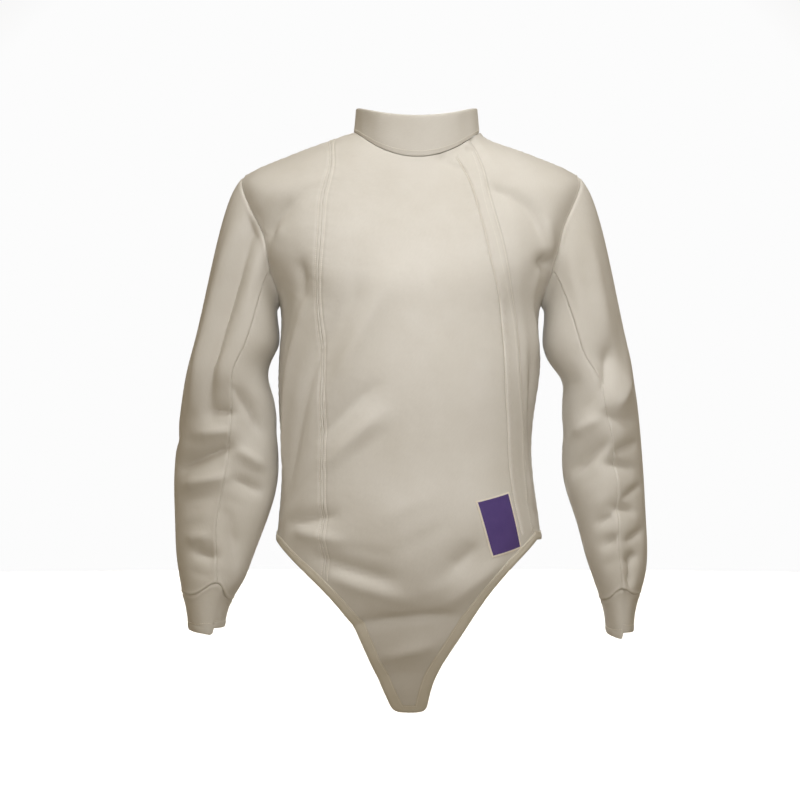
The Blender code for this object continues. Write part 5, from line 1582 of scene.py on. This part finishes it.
def cuff(side_name, sleeve, lap_start, way):
    """A cuff: a band below the sleeve, its first end inside and its lower last end outside."""
    gone = np.linspace(0, 360 + CUFF_LAP, CUFF_COLUMNS)
    turns = lap_start + gone * way
    sink = CUFF_SINK * (1 - smooth_step((gone - CUFF_LAP) / CUFF_LAP))
    corner = np.clip(1 - (gone[-1] - gone) / 360 * CUFF_ROUND / CUFF_CORNER, 0, 1)
    hem_height = CUFF_HEM[side_name] - CUFF_HEM_STEP * (gone / gone[-1]) ** 4
    hem_height += CUFF_CORNER * (1 - np.sqrt(1 - corner**2))
    top = sleeve.cuff_top(turns) - CUFF_GAP
    outer = np.stack([sleeve.ring(turns, top + (hem_height - top) * share) for share in CUFF_SHARES])
    normals = grid_normals(outer) * sleeve.side * way
    middles = outer - normals * sink[None, :, None]
    down = grid_lengths(outer, 0)
    across = grid_lengths(outer, 1)
    to_hem = down[-1:] - down
    lift = ridge(down, *CUFF_NIP) + ridge(down, *CUFF_ROLL)
    lift += ridge(to_hem, *CUFF_DIP)
    lift += CUFF_TURNING * smooth_step((CUFF_SEWING - to_hem) / (2 * MM))
    lift += ridge(to_hem, *CUFF_EDGE)
    waves = ripple(across, *CUFF_RIPPLE)
    lift += CUFF_PUCKER * waves * ridge(to_hem, 1, CUFF_PUCKER_REACH, CUFF_SEWING)
    half_wall = CUFF_WALL / 2
    name = f"cuff_{side_name}"
    face = middles + normals * (half_wall + lift)[..., None]
    lining = middles - normals * half_wall
    piece = grid_wall(f"{name}_drill", name, face, lining, across, down, drill_cloth)
    row = int(np.argmin(np.abs(to_hem[:, CUFF_PLAIN_COLUMN] - CUFF_SEWING)))
    return (middles + normals * (half_wall - 0.1 * MM))[row, 2:-2]


cuff_rows = [cuff("right", right_sleeve, 84.0, 1), cuff("left", left_sleeve, 124.0, -1)]


# Sewing
# Lockstitch in a matching cotton-wrapped thread: twin-needle rows on the body seams, three rows
# down the fly, one round each binding, cuff hem, the label and the collar's foot.
STITCH_LENGTH = 2.1 * MM
THREAD_RADIUS = 0.5 * MM

# Cotton-wrapped polyester thread: matt, a shade lighter than the drill.
thread, tree, shader = new_material(
    "sewing_thread", {"Base Color": linear("#F0ECE2"), "Roughness": 0.6, "Sheen Weight": 0.1}
)


def stitch_tree():
    """A tree that sets one small stitch at every pitch along the edges it is given."""
    tree = bpy.data.node_groups.new("lockstitch", "GeometryNodeTree")
    tree.interface.new_socket("Geometry", in_out="INPUT", socket_type="NodeSocketGeometry")
    for name in ("Pitch", "Stitch length", "Thread radius"):
        tree.interface.new_socket(name, in_out="INPUT", socket_type="NodeSocketFloat")
    tree.interface.new_socket("Thread", in_out="INPUT", socket_type="NodeSocketMaterial")
    tree.interface.new_socket("Geometry", in_out="OUTPUT", socket_type="NodeSocketGeometry")
    given = add_node(tree, "NodeGroupInput").outputs
    path = add_node(tree, "GeometryNodeMeshToCurve", links={"Mesh": given["Geometry"]})
    stations = add_node(
        tree, "GeometryNodeResampleCurve", mode="LENGTH",
        links={"Curve": path.outputs["Curve"], "Length": given["Pitch"]},
    )
    tangent = add_node(tree, "GeometryNodeInputTangent")
    turned = add_node(
        tree, "FunctionNodeAlignRotationToVector", links={"Vector": tangent.outputs[0]}, axis="Z"
    )
    half_length = add_node(
        tree, "ShaderNodeMath", {1: 0.5}, {0: given["Stitch length"]}, operation="MULTIPLY"
    )
    uneven = add_node(tree, "FunctionNodeRandomValue", {2: 0.85, 3: 1.12, "Seed": 7})
    size = add_node(
        tree, "ShaderNodeCombineXYZ",
        links={"X": given["Thread radius"], "Y": given["Thread radius"], "Z": half_length.outputs[0]},
    )
    scaled = add_node(
        tree, "ShaderNodeVectorMath", operation="SCALE",
        links={0: size.outputs[0], "Scale": uneven.outputs[1]},
    )
    bead = add_node(tree, "GeometryNodeMeshUVSphere", {"Segments": 6, "Rings": 4, "Radius": 1.0})
    placed = add_node(
        tree, "GeometryNodeInstanceOnPoints",
        links={
            "Points": stations.outputs["Curve"], "Instance": bead.outputs["Mesh"],
            "Rotation": turned.outputs[0], "Scale": scaled.outputs[0],
        },
    )
    real = add_node(tree, "GeometryNodeRealizeInstances", links={0: placed.outputs[0]})
    finished = add_node(
        tree, "GeometryNodeSetMaterial",
        links={"Geometry": real.outputs[0], "Material": given["Thread"]},
    )
    add_node(tree, "NodeGroupOutput", links={0: finished.outputs[0]})
    return tree


lockstitch = stitch_tree()


def sew(name, paths, radius=THREAD_RADIUS):
    """Stitches along lines of points, as one plain mesh that rides on the jacket."""
    mesh = bpy.data.meshes.new(f"{name}_path")
    edges = []
    start = 0
    for path in paths:
        edges += [(start + i, start + i + 1) for i in range(len(path) - 1)]
        start += len(path)
    mesh.from_pydata(np.concatenate(paths).tolist(), edges, [])
    guide = put_in_scene(f"{name}_path", mesh)
    modifier = guide.modifiers.new("lockstitch", "NODES")
    modifier.node_group = lockstitch
    wanted = {
        "Pitch": STITCH_PITCH, "Stitch length": STITCH_LENGTH, "Thread radius": radius,
        "Thread": thread,
    }
    for item in lockstitch.interface.items_tree:
        if item.in_out == "INPUT" and item.name in wanted:
            modifier[item.identifier] = wanted[item.name]
    ready = guide.evaluated_get(bpy.context.evaluated_depsgraph_get())
    sewn = bpy.data.objects.new(name, bpy.data.meshes.new_from_object(ready))
    bpy.data.objects.remove(guide)
    sewn.data.shade_smooth()
    bpy.context.scene.collection.objects.link(sewn)
    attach(sewn, "root")


def sewn_on(surface, line, seams, edge=None, centre=0.0):
    """A row of sewing laid on a panel's outer face, clear of the hem binding."""
    outer, normals = outer_face(surface, line, seams, edge, centre)[1:]
    path = outer + normals * 0.12 * MM
    if edge is None:
        return path
    return path[nearest_on_line(edge, line)[0] > TAPE_WIDTH + TAPE_CLEARANCE]


right_armhole = armhole_line(-1, True)
left_armhole = armhole_line(1, True)
body_rows = [
    sewn_on(body_cloth, beside(lines["princess"], NEEDLE_GAUGE)[1:], front_seams, hem),
    sewn_on(body_cloth, beside(lines["princess"], -NEEDLE_GAUGE)[1:], side_right_seams, hem),
    sewn_on(body_cloth, beside(right_armhole, NEEDLE_GAUGE)[1:-1], side_right_seams),
    sewn_on(under_layer, beside(left_armhole, NEEDLE_GAUGE)[1:-1], side_left_seams),
    sewn_on(body_cloth, beside(lines["side_right"], NEEDLE_GAUGE)[:-1], side_right_seams, hem),
    sewn_on(under_layer, beside(lines["side_left"], NEEDLE_GAUGE)[:-1], side_left_seams, side_hem),
]
sew("sewing_front_seams", body_rows)

fly_paths = []
for width in FLY_EDGE_ROWS:
    fly_paths.append(sewn_on(body_cloth, beside(lines["fly"], -width)[2:-1], front_seams, hem))
facing_angle, facing_height = from_pattern(lines["fly_sewing"])
facing_up = slope_normals(body_cloth, facing_angle, facing_height)
facing_lift = BODY_WALL / 2 - 0.4 * MM
fly_paths.append(body_cloth(facing_angle, facing_height) + facing_up * facing_lift)
sew("sewing_fly", fly_paths)

back_rows = []
for name, side in (
    ("side_left", -1), ("side_right", 1), ("armhole_right", 1), ("armhole_left", -1),
    ("shoulder_right", 1), ("shoulder_left", -1),
):
    row = beside(back_lines[name], side * NEEDLE_GAUGE)[1:-1]
    back_rows.append(sewn_on(body_cloth, row, back_seams, back_hem, math.pi))
sew("sewing_back_seams", back_rows)

sew("sewing_hem_binding", [front_tape_sewing[1:-1], back_tape_sewing[1:-1]])
sew("sewing_cuffs", cuff_rows)

edge_in = 1.1 * MM
far_x, far_y = LABEL_SIZE[0] - edge_in, LABEL_SIZE[1] - edge_in
corners = ((edge_in, edge_in), (far_x, edge_in), (far_x, far_y), (edge_in, far_y), (edge_in, edge_in))
label_row = evenly(corners, 2 * MM)
label_lift = np.full(len(label_row), low + LABEL_WALL - 0.1 * MM)
label_stitches = label_points(label_row[:, 0], label_row[:, 1], label_lift)
sew("sewing_label", [label_stitches], 0.3 * MM)

# One row round the foot of the collar, from where its ends stop lapping
collar_row_turns = np.linspace(COLLAR_START + 34, COLLAR_END - 2, 190)
collar_row = collar_point(collar_row_turns, 0.12, COLLAR_WALL / 2 + 0.05 * MM)
sew("sewing_collar", [collar_row])
